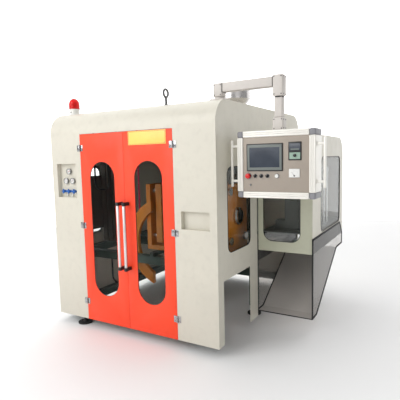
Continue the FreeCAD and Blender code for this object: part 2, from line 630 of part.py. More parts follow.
def chute():
    """Two clear side walls and the sloping slide sheet that they carry."""
    low = "chute_lip"
    top = "chute_top"
    outline = (("0", low), ("0", top), ("chute_rear - flank_rear - chute_slant", top),
               ("chute_rear - flank_rear", top + " - chute_drop"),
               ("chute_rear - flank_rear", "chute_rise"),
               ("chute_run - flank_rear - chute_gap", "chute_rise"), ("chute_flat", low))
    walls = []
    for x_text in ("cab_width - skin - frame_inset", "ext_side"):
        body = new_body()
        pad_outline(body, "YZ_Plane", outline, "acrylic")
        walls.append(put(body, (x_text, "flank_rear + chute_gap", "0")))
    finish("chute_walls", group(*walls))
    slope_end = "chute_run - flank_rear - chute_gap"
    slide = new_body()
    pad_outline(slide, "YZ_Plane",
                (("0", "0"), ("0", "slide_sheet"), ("chute_flat", "slide_sheet"),
                 (slope_end, "chute_rise - chute_lip + slide_sheet"),
                 (slope_end, "chute_rise - chute_lip"), ("chute_flat", "0")),
                "ext_side - cab_width + skin + frame_inset - acrylic")
    put(slide, ("cab_width - skin - frame_inset + acrylic", "flank_rear + chute_gap",
                "chute_lip"))
    finish("chute_slide", slide)


# ---------------------------------------------------------------- clamp unit

def clamp_unit():
    """Slide rails, the carriage with its end walls, tie bars, platens, ram and curved arms."""
    base = "bed_top + slide_tall + fit_gap"
    deep = "carriage_deep"
    tall = "platen_high - bed_top - slide_tall - carriage_thick"
    shell = fuse(
        block(("carriage_left", "carriage_front", base),
              ("carriage_right - carriage_left", deep, "carriage_thick")),
        block(("carriage_left", "carriage_front", base), ("wall_thick", deep,
                                                         tall + " + carriage_thick")),
        block(("carriage_right - wall_thick", "carriage_front", base),
              ("wall_thick", deep, tall + " + carriage_thick")),
        rod(("carriage_right - wall_thick", "carriage_front + wall_rib", base),
            "wall_thick/2", tall + " + carriage_thick"))
    holes = [rod(("carriage_right - 2*wall_thick", "carriage_front + carriage_deep/2",
                  "clamp_axis"), "ram_radius + fit_gap", "3*wall_thick", "X")]
    for y_text, z_text in TIES:
        holes.append(rod(("carriage_left - skin", y_text, z_text), "tie_radius + bore_gap",
                         "carriage_right - carriage_left + 2*skin", "X"))
    plain = cut(shell, *holes)
    finish("tie_bars", group(*[
        fuse(rod(("carriage_left - tie_nut", y_text, z_text), "tie_radius",
                 "carriage_right - carriage_left + 2*tie_nut", "X"),
             rod(("carriage_left - tie_nut", y_text, z_text), "1.5*tie_radius",
                 "tie_nut - fit_gap", "X"),
             rod(("carriage_right + fit_gap", y_text, z_text), "1.5*tie_radius",
                 "tie_nut - fit_gap", "X"))
        for y_text, z_text in TIES]))
    middle = "carriage_front + carriage_deep/2"
    for name, side in (("left_platen", "left_platen_side"),
                       ("right_platen", "right_platen_side")):
        plate = block((side, "carriage_front + platen_trim", "platen_low"),
                      ("platen_thick", "carriage_deep - 2*platen_trim",
                       "platen_high - platen_low"))
        plate = cut(plate, *[rod((side + " - skin", y_text, z_text),
                                 "tie_radius + bore_gap", "platen_thick + 2*skin", "X")
                             for y_text, z_text in TIES])
        if name == "right_platen":
            plate = group(plate, rod((
                "right_platen_side + platen_thick", middle, "clamp_axis"), "rod_radius",
                "ram_rear - right_platen_side - platen_thick - 2*ram_flange", "X"))
        finish(name, plate)
    ram = fuse(rod(("ram_front", middle, "clamp_axis"), "ram_radius",
                   "ram_rear - ram_front - ram_flange", "X"),
               rod(("carriage_right + fit_gap", middle, "clamp_axis"),
                   "ram_radius + 2*ram_collar", "ram_flange", "X"),
               rod(("ram_front", middle, "clamp_axis"), "ram_radius + ram_collar",
                   "ram_flange", "X"))
    finish("clamp_ram", cut(ram, rod(("ram_front - skin", middle, "clamp_axis"),
                                     "rod_radius + bore_gap",
                                     "ram_rear - ram_front - 1.5*ram_flange", "X")))
    arms = []
    for y_text, low in (("carriage_front - arm_thick", "arm_z - arm_round"),
                        ("carriage_front + carriage_deep", base)):
        hoop = cut(rod(("arm_x", y_text, "arm_z"), "arm_round", "arm_thick", "Y"),
                   rod(("arm_x + arm_shift", y_text + " - skin", "arm_z"), "arm_inner",
                       "arm_thick + 2*skin", "Y"))
        arm = doc.addObject("Part::Common", "Arm")
        arm.Base = hoop
        arm.Tool = block(("arm_x - arm_round - skin", y_text + " - skin", low),
                         ("arm_reach", "arm_thick + 2*skin", "2*arm_round"))
        arms.append(arm)
    finish("carriage", fuse(plain, *arms))


TIES = tuple(("carriage_front + %s" % y_text, "%s" % z_text)
             for y_text in ("tie_inset", "carriage_deep - tie_inset")
             for z_text in ("platen_low + tie_inset", "platen_high - tie_inset"))


# ---------------------------------------------------------------- melt side

def melt_side():
    """Extruder along Y with its screw, die head, gearbox, motor and hopper."""
    joint = "head_y + head_radius"
    head = fuse(rod(("head_x", "head_y", "head_low"), "head_radius", "head_tall"),
                taper(("head_x", "head_y", "head_low - nozzle_tall"), "head_radius/2",
                      "0.8*head_radius", "nozzle_tall"),
                block(("head_x - yoke_wide/2", "head_y - yoke_deep/2", "head_low + head_tall"),
                      ("yoke_wide", "yoke_deep", "top_rail - head_low - head_tall")),
                block(("skin + frame_inset + post", "head_y - yoke_deep/2", "top_rail"),
                      ("cab_width - 2*skin - 2*frame_inset - 2*post", "yoke_deep", "post")))
    finish("die_head", head)
    barrel = cut(
        fuse(rod(("head_x", joint, "barrel_z"), "barrel_radius", "barrel_long", "Y"),
             block(("head_x - barrel_radius", joint + " - flange_deep",
                    "barrel_z - barrel_radius"),
                   ("2*barrel_radius", "2*flange_deep", "2*barrel_radius")),
             rod(("head_x", "hopper_y", "barrel_z"), "hopper_neck",
                 "cab_height - barrel_z + hopper_lift")),
        rod(("head_x", joint + " + flange_deep", "barrel_z"), "screw_radius + fit_gap",
            "barrel_long", "Y"),
        rod(("head_x", "hopper_y", "barrel_z"), "hopper_neck - 2*hopper_wall",
            "cab_height - barrel_z + hopper_lift + skin"),
        rod(("head_x", "head_y", "head_low"), "head_radius + fit_gap", "head_tall"))
    finish("extruder_screw", rod(("head_x", joint + " + screw_start", "barrel_z"),
                                 "screw_radius",
                                 "barrel_long - screw_start + gear_deep/2", "Y"))
    gear = cut(block(("head_x - gear_wide/2", "barrel_rear", "barrel_z - gear_tall/2"),
                     ("gear_wide", "gear_deep", "gear_tall")),
               rod(("head_x", "barrel_rear - skin", "barrel_z"), "screw_radius + fit_gap",
                   "gear_deep/2 + 3*skin", "Y"))
    legs = [block((x_text, "barrel_rear + gear_foot", "bed_top"),
                  ("tube", "gear_deep - 2*gear_foot", "barrel_z - gear_tall/2 - bed_top"))
            for x_text in ("head_x - gear_wide/2", "head_x + gear_wide/2 - tube")]
    motor = fuse(rod(("head_x - gear_wide/2 - motor_radius - motor_gap",
                      "barrel_rear + gear_deep/2", "barrel_z - motor_tall/2"),
                     "motor_radius", "motor_tall"),
                 block(("head_x - gear_wide/2 - 2*motor_gap",
                        "barrel_rear + gear_deep/2 - coupling/2", "barrel_z - coupling/2"),
                       ("2*motor_gap", "coupling", "coupling")))
    finish("extruder", group(barrel, fuse(gear, *legs), motor))
    cone = "cab_height + hopper_lift"
    waist = cone + " + hopper_tall/2"
    finish("hopper", cut(
        fuse(taper(("head_x", "hopper_y", cone), "hopper_neck", "hopper_radius",
                   "hopper_tall/2"),
             rod(("head_x", "hopper_y", waist), "hopper_radius", "hopper_tall/2")),
        fuse(taper(("head_x", "hopper_y", cone), "hopper_neck - hopper_wall",
                   "hopper_radius - hopper_wall", "hopper_tall/2"),
             rod(("head_x", "hopper_y", waist), "hopper_radius - hopper_wall",
                 "hopper_tall/2 - hopper_wall"))))


# ---------------------------------------------------------------- blow unit and services

def blow_unit():
    """Cylinder bracket over the mould gap with its pin."""
    bracket = fuse(
        block(("blow_x - blow_block/2", "blow_y - blow_beam/2", "blow_low + blow_lift"),
              ("blow_block", "blow_beam", "top_rail - blow_low - blow_lift")),
        block(("skin + frame_inset + post", "blow_y - blow_beam/2", "top_rail"),
              ("cab_width - 2*skin - 2*frame_inset - 2*post", "blow_beam", "post")),
        rod(("blow_x", "blow_y", "blow_low + blow_lift - gland_drop"), "gland_radius",
            "gland_tall"))
    finish("blow_bracket", cut(bracket, rod(
        ("blow_x", "blow_y", "blow_low + blow_lift - gland_drop - skin"),
        "pin_radius + bore_gap", "pin_long - pin_below - blow_lift + gland_drop + 10*skin")))
    finish("blow_pin", fuse(
        rod(("blow_x", "blow_y", "blow_low - pin_below"), "pin_radius", "pin_long"),
        rod(("blow_x", "blow_y", "blow_low - pin_collar_drop"), "pin_collar",
            "pin_collar_tall")))


def take_out_station():
    """Shelf, valve block and guide rods in the extension."""
    shelf = block(("cab_width + shelf_gap", "ext_front + shelf_inset", "shelf_z"),
                  ("ext_wide - shelf_gap - skin - pane",
                   "ext_rear - ext_front - shelf_inset - 2*skin", "shelf_thick"))
    rods = []
    for number in range(3):
        y_text = "guide_y + %d*guide_pitch" % number
        rods.append(fuse(
            rod(("guide_x", y_text, "shelf_top"), "guide_radius", "guide_tall"),
            rod(("guide_x", y_text, "shelf_top"), "2*guide_radius", "guide_foot"),
            rod(("guide_x", y_text, "shelf_top + guide_tall - guide_cap_tall"), "guide_cap",
                "guide_cap_tall")))
    finish("guide_rods", group(*rods))
    finish("air_manifold", fuse(
        shelf,
        block(("block_side", "block_y", "shelf_top"),
              ("block_wide", "block_deep", "block_top - shelf_top")),
        block(("block_side - step_wide", "block_y", "shelf_top"),
              ("step_wide", "block_deep", "step_tall"))))


def ducts():
    """Cable ducts that hang from the blow beam, and the board on the left post."""
    hanging = [block(("duct_x + %d*duct_pitch" % number, "duct_y", "duct_low"),
                     ("duct_wide", "duct_wide", "top_rail - duct_low"))
               for number in range(3)]
    board = block(("skin + frame_inset + post", "board_front", "board_low"),
                  ("board_thick", "rail_mid + post - board_front", "board_high - board_low"))
    finish("cable_ducts", group(*hanging, board))


def hose(corners, bend):
    """A hose of straight runs along the axes, joined by tangent quarter bends.

    Each corner is a triple of expressions, and differs from the one before along one axis.
    """
    probe = doc.addObject("App::FeaturePython", "Probe")
    probe.addProperty("App::PropertyFloat", "gap")
    steps = []
    for before, after in zip(corners, corners[1:]):
        axis = next(place for place in range(3) if before[place] != after[place])
        probe.setExpression("gap", formula("(%s) - (%s)" % (after[axis], before[axis])))
        doc.recompute([probe])
        steps.append((axis, 1 if probe.gap > 0 else -1))
    doc.removeObject(probe.Name)
    parts = []
    for index, (axis, sign) in enumerate(steps):
        low, high = (corners[index], corners[index + 1])[::sign]
        trim_low, trim_high = (index > 0, index < len(steps) - 1)[::sign]
        at = list(low)
        at[axis] += " + " + bend if trim_low else ""
        length = "(%s) - (%s)" % (high[axis], low[axis])
        length += " - %d*%s" % (trim_low + trim_high, bend)
        parts.append(rod(tuple(at), "hose_radius", length, "XYZ"[axis]))
    for index in range(1, len(steps)):
        parts.append(elbow(corners[index], steps[index - 1], steps[index], bend))
    return fuse(*parts)


def elbow(corner, entry, leave, bend):
    """A quarter torus between a run that enters a corner and the run that leaves it."""
    arms = [FreeCAD.Vector(), FreeCAD.Vector()]
    at = list(corner)
    for arm, (axis, sign) in zip(arms, ((entry[0], -entry[1]), leave)):
        arm[axis] = -sign
        at[axis] += " %s %s" % ("+" if sign > 0 else "-", bend)
    item = doc.addObject("Part::Torus", "Bend")
    item.Placement = FreeCAD.Placement(
        FreeCAD.Vector(), FreeCAD.Rotation(arms[0], arms[1], FreeCAD.Vector(), "XYZ"))
    bind(item, Radius1=bend, Radius2="hose_radius")
    item.Angle3 = 90
    return put(item, tuple(at))


def hoses():
    """Air hoses of the extension and of the clamp, and two looped ones behind the left door."""
    rail_x = "cab_width - skin - frame_inset - post/2"
    air = []
    for number in range(2):
        x_text = "block_side + hose_pitch*%d/2" % (number + 1)
        y_text = "block_y + block_deep/2 + hose_pitch*%d/2" % (2 * number - 1)
        level = "hose_level + hose_pitch*%d" % number
        air.append(hose(((x_text, y_text, "block_top"), (x_text, y_text, level),
                         (rail_x, y_text, level), (rail_x, y_text, "top_rail")), "hose_bend"))
    drip_y = "block_y + block_deep/2"
    drip_start = "block_side + block_wide - hose_pitch/2"
    air.append(hose(((drip_start, drip_y, "block_top"), (drip_start, drip_y, "drip_level"),
                     ("drip_x", drip_y, "drip_level"), ("drip_x", drip_y, "shelf_top")),
                    "hose_turn"))
    bed_y = "bed_front + tube/2"
    air.append(hose((("feed_x", "blow_y", "top_rail"), ("feed_x", "blow_y", "feed_level"),
                     ("feed_x", bed_y, "feed_level"), ("feed_x", bed_y, "bed_top")),
                    "hose_bend"))
    finish("air_hoses", group(*air))
    loops = []
    for side, y_text, top in (("upper_loop", "rail_front + post/2", "top_rail"),
                              ("lower_loop", bed_y, "bed_low")):
        near, low = side + "_side", side + "_low"
        far = "%s_side + %s_wide" % (side, side)
        loops.append(hose(((near, y_text, top), (near, y_text, low), (far, y_text, low),
                           (far, y_text, top)), "hose_loop"))
    finish("oil_hoses", group(*loops))


# ---------------------------------------------------------------- roof fittings

def roof_fittings():
    finish("lamp_base", fuse(
        rod(("lamp_x", "lamp_y", "cab_height"), "lamp_base_radius",
            "lamp_base_tall - lamp_rim"),
        rod(("lamp_x", "lamp_y", "cab_height + lamp_base_tall - lamp_rim"), "lamp_radius",
            "lamp_rim")))
    low = "cab_height + lamp_base_tall"
    finish("lamp_dome", cut(
        fuse(rod(("lamp_x", "lamp_y", low), "lamp_radius", "lamp_tall"),
             ball(("lamp_x", "lamp_y", low + " + lamp_tall"), "lamp_radius")),
        fuse(rod(("lamp_x", "lamp_y", low + " - skin"), "lamp_radius - lamp_wall",
                 "lamp_tall + skin"),
             ball(("lamp_x", "lamp_y", low + " + lamp_tall"), "lamp_radius - lamp_wall"),
             block(("lamp_x - 2*lamp_radius", "lamp_y - 2*lamp_radius",
                    low + " - lamp_radius"),
                   ("4*lamp_radius", "4*lamp_radius", "lamp_radius")))))
    half = "eye_plate/2"
    finish("lifting_eye", fuse(
        block(("eye_x - " + half, "eye_y - " + half, "cab_height"),
              ("eye_plate", "eye_plate", "eye_plate_thick")),
        rod(("eye_x", "eye_y", "cab_height"), "eye_wire*1.2", "eye_stem_tall"),
        ring(("eye_x", "eye_y", "cab_height + eye_stem_tall + eye_ring"), "eye_ring",
             "eye_wire", "X")))


# ---------------------------------------------------------------- arm and control box

def square(x_text, y_text, low, across, tall):
    return block((x_text + " - (%s)/2" % across, y_text + " - (%s)/2" % across, low),
                 (across, across, tall))


def swivel_arm():
    base = "cab_height"
    finish("arm_pedestal", fuse(
        square("boom_x", "boom_y", base, "boom_foot", "boom_foot_thick"),
        rod(("boom_x", "boom_y", base), "boom_block/2", "boom_foot_thick + pivot_tall"),
        rod(("boom_x", "boom_y", base), "pivot_radius", "boom_foot_thick + 2*pivot_tall")))
    low = base + " + boom_foot_thick + pivot_tall + fit_gap"
    knuckle = cut(
        square("boom_x", "boom_y", low, "boom_block",
               "boom_z + boom_tube/2 - (%s)" % low),
        rod(("boom_x", "boom_y", low + " - fit_gap"), "pivot_radius + bore_gap",
            "pivot_tall + 2*fit_gap"))
    side = "boom_x + boom_block/2"
    long = "drop_x - elbow_size/2 - boom_x - boom_block/2"
    boom = cut(
        block((side, "boom_y - boom_tube/2", "boom_z - boom_tube/2"),
              (long, "boom_tube", "boom_tube")),
        block((side + " - skin", "boom_y - boom_tube/2 + boom_wall",
               "boom_z - boom_tube/2 + boom_wall"),
              (long + " + 2*skin", "boom_tube - 2*boom_wall", "boom_tube - 2*boom_wall")))
    finish("arm_castings", group(knuckle, square(
        "drop_x", "boom_y", "elbow_low", "elbow_size",
        "boom_z + boom_tube/2 + elbow_cap - elbow_low")))
    drop = fuse(
        square("drop_x", "boom_y", "drop_low + fit_gap", "drop_tube",
               "elbow_low - drop_low - fit_gap - drop_flange"),
        rod(("drop_x", "boom_y", "elbow_low - drop_flange"), "pivot_radius", "drop_flange"),
        rod(("drop_x", "boom_y", "drop_low - pivot_tall"), "spigot_radius",
            "pivot_tall + skin"))
    finish("arm_tubes", group(boom, drop))
    finish("box_collar", cut(
        square("drop_x", "boom_y", "box_top", "collar_size", "drop_low - box_top"),
        rod(("drop_x", "boom_y", "drop_low - pivot_tall - fit_gap"),
            "spigot_radius + bore_gap", "pivot_tall + 2*fit_gap")))


def control_box():
    left = "drop_x - box_wide/2"
    low = "box_top - box_tall"
    rails = [
        block((left + " + box_bar", "box_front", "box_top - box_bar"),
              ("box_wide - 2*box_bar", "box_deep", "box_bar")),
        block((left + " + box_bar", "box_front", low),
              ("box_wide - 2*box_bar", "box_deep", "box_bar")),
        block((left, "box_front", low + " + box_bar"),
              ("box_bar", "box_deep", "box_tall - 2*box_bar")),
        block((left + " + box_wide - box_bar", "box_front", low + " + box_bar"),
              ("box_bar", "box_deep", "box_tall - 2*box_bar"))]
    finish("box_rails", group(*rails))
    corners = []
    for x_text in (left, left + " + box_wide - box_bar"):
        for z_text in (low, "box_top - box_bar"):
            corners.append(block((x_text, "box_front + corner_inset", z_text),
                                 ("box_bar", "box_deep - 2*corner_inset", "box_bar")))
    finish("box_corners", group(*corners))
    plate_y = "box_front + plate_back"
    plates = [block((left + " + box_bar", y_text, low + " + box_bar"),
                    ("box_wide - 2*box_bar", "box_plate", "box_tall - 2*box_bar"))
              for y_text in (plate_y, "box_front + box_deep - plate_back - box_plate")]
    holes = [rod((left + " + " + side, plate_y + " - box_plate", "box_top - switch_row"),
                 "button_stem + fit_gap", "3*box_plate", "Y")
             for side in ("stop_left", "key_left")]
    finish("box_plates", group(cut(plates[0], *holes), plates[1]))

    def panel_block(side, high, wide, tall, thick):
        return block((left + " + " + side, plate_y + " - " + thick,
                      "box_top - (%s) - (%s)" % (high, tall)), (wide, thick, tall))

    finish("touch_screen", panel_block("screen_left", "screen_high", "screen_wide",
                                       "screen_tall", "screen_thick"))
    finish("speed_controller", panel_block("ctrl_left", "ctrl_high", "ctrl_wide",
                                           "ctrl_tall", "ctrl_thick"))
    finish("speed_knob", rod(
        (left + " + ctrl_left + ctrl_wide/2", plate_y + " - ctrl_thick - ctrl_knob_long",
         "box_top - ctrl_high - ctrl_knob_drop"), "ctrl_knob_radius",
        "ctrl_knob_long - fit_gap", "Y"))
    finish("panel_meter", panel_block("meter_left", "meter_high", "meter_wide",
                                      "meter_tall", "ctrl_thick"))
    row = "box_top - switch_row"

    def collar(x_text, radius):
        return rod((x_text, plate_y + " - bezel_thick", row), radius, "bezel_thick", "Y")

    def push_button(x_text, radius, thick, lift):
        """A bored collar and a headed plunger that stands off it by its travel."""
        face = "%s - bezel_thick - (%s)" % (plate_y, lift)
        bored = cut(collar(x_text, radius + " + 2*bezel_thick"),
                    rod((x_text, plate_y + " - 2*bezel_thick", row),
                        "button_stem + bore_gap", "3*bezel_thick", "Y"))
        plunger = fuse(rod((x_text, "%s - (%s)" % (face, thick), row), radius, thick, "Y"),
                       rod((x_text, face, row), "button_stem",
                           lift + " + button_stem_long", "Y"))
        return bored, plunger

    stop_bezel, stop = push_button(left + " + stop_left", "stop_radius", "stop_thick",
                                   "stop_travel + 1")
    finish("stop_button", stop)
    bezels = [stop_bezel]
    for number in range(3):
        x_text = left + " + pick_left + %d*pick_pitch" % number
        face = plate_y + " - bezel_thick - fit_gap"
        bezels.append(collar(x_text, "pick_radius + bezel_thick"))
        knob = rod((x_text, face + " - pick_thick", row), "pick_radius", "pick_thick", "Y")
        lever = block((x_text + " - pick_lever/2", face + " - 2.5*pick_thick",
                       row + " - pick_radius"),
                      ("pick_lever", "2*pick_thick", "2*pick_radius"))
        finish("selector_%d" % (number + 1), fuse(knob, lever))
    start_bezel, start = push_button(left + " + key_left", "pick_radius + 1", "key_thick",
                                     "start_travel + 1")
    bezels.append(start_bezel)
    finish("start_button", start)
    bezels.append(rod((left + " + lock_left", plate_y + " - lock_long", row + " - lock_drop"),
                      "lock_radius", "lock_long", "Y"))
    finish("switch_bezels", group(*bezels))
    grabs = []
    middle_y = "box_front + grab_inset"
    high = "box_top - grab_high"
    for sign in (-1, 1):
        side = left if sign < 0 else left + " + box_wide"
        bar_x = side + (" - grab_reach - grab_bar" if sign < 0 else " + grab_reach")
        stub_x = side + (" - grab_reach" if sign < 0 else "")
        parts = [block((bar_x, middle_y, high + " - grab_tall"),
                       ("grab_bar", "grab_bar", "grab_tall"))]
        for z_text in (high + " - 3*grab_bar", high + " - grab_tall + 2*grab_bar"):
            parts.append(block((stub_x, middle_y, z_text),
                               ("grab_reach", "grab_bar", "grab_bar")))
        grabs.append(fuse(*parts))
    finish("box_handles", group(*grabs))


def check_and_export():
    """Stop on any failed object, centre the model on its footprint and write each piece."""
    doc.recompute()
    box = FreeCAD.BoundBox()
    for item in pieces:
        box.add(item.Shape.BoundBox)
    sheet.set("B%d" % (len(CELLS) - 1), "%.3f" % (-box.Center.x))
    sheet.set("B%d" % len(CELLS), "%.3f" % (-box.Center.y))
    doc.recompute()
    for item in doc.Objects:
        if "Invalid" in item.State or "Error" in item.State:
            raise RuntimeError("%s (%s) failed: %s" % (item.Name, item.Label, item.State))
    for item in pieces:
        if item.Shape.isNull() or not item.Shape.isValid():
            raise RuntimeError("%s has no valid shape" % item.Label)
    os.makedirs("parts", exist_ok=True)
    for item in pieces:
        item.Shape.exportStep("parts/%s.step" % item.Label)


enclosure_shell()
flank("left_side_panel", "0")
flank("right_side_panel", "cab_width - skin")
extension()
window_panes()
doors()
front_recesses()
main_frame()
chute()
clamp_unit()
melt_side()
blow_unit()
take_out_station()
ducts()
hoses()
roof_fittings()
swivel_arm()
control_box()
check_and_export()
print("%d pieces, origin at %.2f, %.2f" % (len(pieces), size("origin_x"), size("origin_y")))
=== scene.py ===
"""Looks of the blow moulding machine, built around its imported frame."""
import math

import bpy
from mathutils import Matrix, Vector


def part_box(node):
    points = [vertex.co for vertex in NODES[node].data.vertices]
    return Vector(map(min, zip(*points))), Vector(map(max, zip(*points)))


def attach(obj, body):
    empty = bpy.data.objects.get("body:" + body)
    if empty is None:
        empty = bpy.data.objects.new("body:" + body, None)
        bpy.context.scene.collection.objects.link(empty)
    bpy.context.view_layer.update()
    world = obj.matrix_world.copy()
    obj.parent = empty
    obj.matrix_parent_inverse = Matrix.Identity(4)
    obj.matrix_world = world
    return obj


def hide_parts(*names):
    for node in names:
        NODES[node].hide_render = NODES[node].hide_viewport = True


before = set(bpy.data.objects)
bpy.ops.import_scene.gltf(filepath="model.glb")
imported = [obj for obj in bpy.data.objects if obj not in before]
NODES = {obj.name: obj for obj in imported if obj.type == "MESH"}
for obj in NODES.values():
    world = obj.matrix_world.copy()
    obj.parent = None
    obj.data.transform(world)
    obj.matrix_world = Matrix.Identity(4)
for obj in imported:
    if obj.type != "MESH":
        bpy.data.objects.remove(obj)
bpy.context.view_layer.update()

bl_info = {
    "name": "Blow Moulding Machine Looks",
    "version": (1, 0, 0),
    "blender": (4, 5, 0),
    "location": "View3D > Sidebar > Blow Moulder",
    "description": "Finishes, trim and studio for the blow moulding machine",
    "category": "Object",
}

CORNER = Vector((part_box("left_side_panel")[0][0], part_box("left_side_panel")[0][1], 0.0))


def at(x, y, z):
    """A place given in the cabinet's own axes, from its front left corner on the floor."""
    return CORNER + Vector((x, y, z))


def mm(x, y, z):
    """The same, in millimetres."""
    return at(x / 1000, y / 1000, z / 1000)


# ------------------------------------------------------------------ settings

class BlowMoulderColours(bpy.types.PropertyGroup):
    """Paint and sheet colours of the machine."""
    cabinet: bpy.props.FloatVectorProperty(
        name="Cabinet", description="Powder coat of the cabinet", subtype="COLOR",
        size=3, default=(0.66, 0.63, 0.54))
    extension: bpy.props.FloatVectorProperty(
        name="Extension", description="Powder coat of the extension's front",
        subtype="COLOR", size=3, default=(0.58, 0.59, 0.46))
    doors: bpy.props.FloatVectorProperty(
        name="Doors", description="Powder coat of the doors", subtype="COLOR",
        size=3, default=(1.0, 0.062, 0.014))
    machine: bpy.props.FloatVectorProperty(
        name="Clamp", description="Enamel of the clamp unit", subtype="COLOR",
        size=3, default=(0.62, 0.21, 0.012))
    frame_green: bpy.props.FloatVectorProperty(
        name="Frame", description="Enamel of the welded frame", subtype="COLOR",
        size=3, default=(0.045, 0.085, 0.07))
    plate: bpy.props.FloatVectorProperty(
        name="Door plate", description="Enamel of the plate on the right door",
        subtype="COLOR", size=3, default=(1.0, 0.68, 0.16))


class BlowMoulderSizes(bpy.types.PropertyGroup):
    """Sizes of the trim that is added to the frame."""
    edge_strip: bpy.props.FloatProperty(
        name="Edge strip", description="Width of the black edge strip on the chute walls",
        default=0.018, unit="LENGTH")
    grip_radius: bpy.props.FloatProperty(
        name="Door grip", description="Radius of the door handle bars", default=0.0135,
        unit="LENGTH")


def colours():
    return bpy.context.scene.blow_moulder_colours


def sizes():
    return bpy.context.scene.blow_moulder_sizes


# ------------------------------------------------------------------ materials

def new_material(name):
    material = bpy.data.materials.new(name)
    material.use_nodes = True
    return material, material.node_tree.nodes, material.node_tree.links


def noise(nodes, links, scale, detail=3.0, stretch=None):
    """Noise on object coordinates, optionally stretched along an axis."""
    place = nodes.new("ShaderNodeTexCoord")
    pattern = nodes.new("ShaderNodeTexNoise")
    pattern.inputs["Scale"].default_value = scale
    pattern.inputs["Detail"].default_value = detail
    if stretch is None:
        links.new(place.outputs["Object"], pattern.inputs["Vector"])
        return pattern.outputs["Fac"]
    mapping = nodes.new("ShaderNodeMapping")
    mapping.inputs["Scale"].default_value = stretch
    links.new(place.outputs["Object"], mapping.inputs["Vector"])
    links.new(mapping.outputs["Vector"], pattern.inputs["Vector"])
    return pattern.outputs["Fac"]


def spread(nodes, links, source, low, high):
    """Map a 0.3 to 0.7 pattern to a range of numbers."""
    ranged = nodes.new("ShaderNodeMapRange")
    ranged.inputs["From Min"].default_value = 0.3
    ranged.inputs["From Max"].default_value = 0.7
    ranged.inputs["To Min"].default_value = low
    ranged.inputs["To Max"].default_value = high
    links.new(source, ranged.inputs["Value"])
    return ranged.outputs["Result"]


def tint(nodes, links, factor, first, second):
    mix = nodes.new("ShaderNodeMix")
    mix.data_type = "RGBA"
    mix.inputs["A"].default_value = (*first, 1.0)
    mix.inputs["B"].default_value = (*second, 1.0)
    links.new(factor, mix.inputs["Factor"])
    return mix.outputs["Result"]


def shade(colour, amount):
    return tuple(min(1.0, channel * amount) for channel in colour)


def finish_material(name, colour, rough=(0.35, 0.5), metal=0.0, patches=2.5, depth=0.07,
                    grain=350.0, bump=0.05, stretch=None, coat=0.0, bottom_darkening=0.0,
                    wear=0.22):
    """A painted, moulded or metal surface: patches, scuffs, uneven gloss, a fine grain."""
    material, nodes, links = new_material(name)
    shader = nodes["Principled BSDF"]
    shader.inputs["Metallic"].default_value = metal
    shader.inputs["Coat Weight"].default_value = coat
    patch = spread(nodes, links, noise(nodes, links, patches, 4.0), 0.0, 1.0)
    base = tint(nodes, links, patch, shade(colour, 1.0 - depth), shade(colour, 1.0 + depth))
    # Darker towards the bottom: below 0.7 m of height the colour mixes more and more toward a
    # darker tone of itself, most near the floor.
    if bottom_darkening:
        place = nodes.new("ShaderNodeTexCoord")
        split = nodes.new("ShaderNodeSeparateXYZ")
        links.new(place.outputs["Object"], split.inputs["Vector"])
        low = nodes.new("ShaderNodeMapRange")
        low.inputs["From Min"].default_value = 0.05
        low.inputs["From Max"].default_value = 0.7
        low.inputs["To Min"].default_value = bottom_darkening
        low.inputs["To Max"].default_value = 0.0
        links.new(split.outputs["Z"], low.inputs["Value"])
        mix = nodes.new("ShaderNodeMix")
        mix.data_type = "RGBA"
        mix.inputs["B"].default_value = (*shade(colour, 0.72), 1.0)
        links.new(low.outputs["Result"], mix.inputs["Factor"])
        links.new(base, mix.inputs["A"])
        base = mix.outputs["Result"]
    scuff = spread(nodes, links, noise(nodes, links, 14.0, 3.0, stretch), -wear, wear)
    worn = nodes.new("ShaderNodeMix")
    worn.data_type = "RGBA"
    worn.inputs["B"].default_value = (*shade(colour, 0.8), 1.0)
    links.new(scuff, worn.inputs["Factor"])
    links.new(base, worn.inputs["A"])
    links.new(worn.outputs["Result"], shader.inputs["Base Color"])
    streak = noise(nodes, links, 9.0 if stretch is None else 4.0, 5.0, stretch)
    links.new(spread(nodes, links, streak, rough[0], rough[1]), shader.inputs["Roughness"])
    rise = nodes.new("ShaderNodeBump")
    rise.inputs["Strength"].default_value = bump
    rise.inputs["Distance"].default_value = 0.001
    links.new(noise(nodes, links, grain, 2.0, stretch), rise.inputs["Height"])
    links.new(rise.outputs["Normal"], shader.inputs["Normal"])
    return material


def sheet_material(name, colour, rough, clear, ior=1.49):
    """Clear or smoked plastic sheet with faint smears."""
    material, nodes, links = new_material(name)
    shader = nodes["Principled BSDF"]
    shader.inputs["Transmission Weight"].default_value = clear
    shader.inputs["IOR"].default_value = ior
    smear = noise(nodes, links, 6.0, 5.0, (1.0, 1.0, 0.4))
    links.new(spread(nodes, links, smear, rough, rough + 0.06), shader.inputs["Roughness"])
    links.new(tint(nodes, links, smear, shade(colour, 0.96), shade(colour, 1.03)),
              shader.inputs["Base Color"])
    rise = nodes.new("ShaderNodeBump")
    rise.inputs["Strength"].default_value = 0.02
    rise.inputs["Distance"].default_value = 0.001
    links.new(noise(nodes, links, 24.0, 2.0), rise.inputs["Height"])
    links.new(rise.outputs["Normal"], shader.inputs["Normal"])
    return material


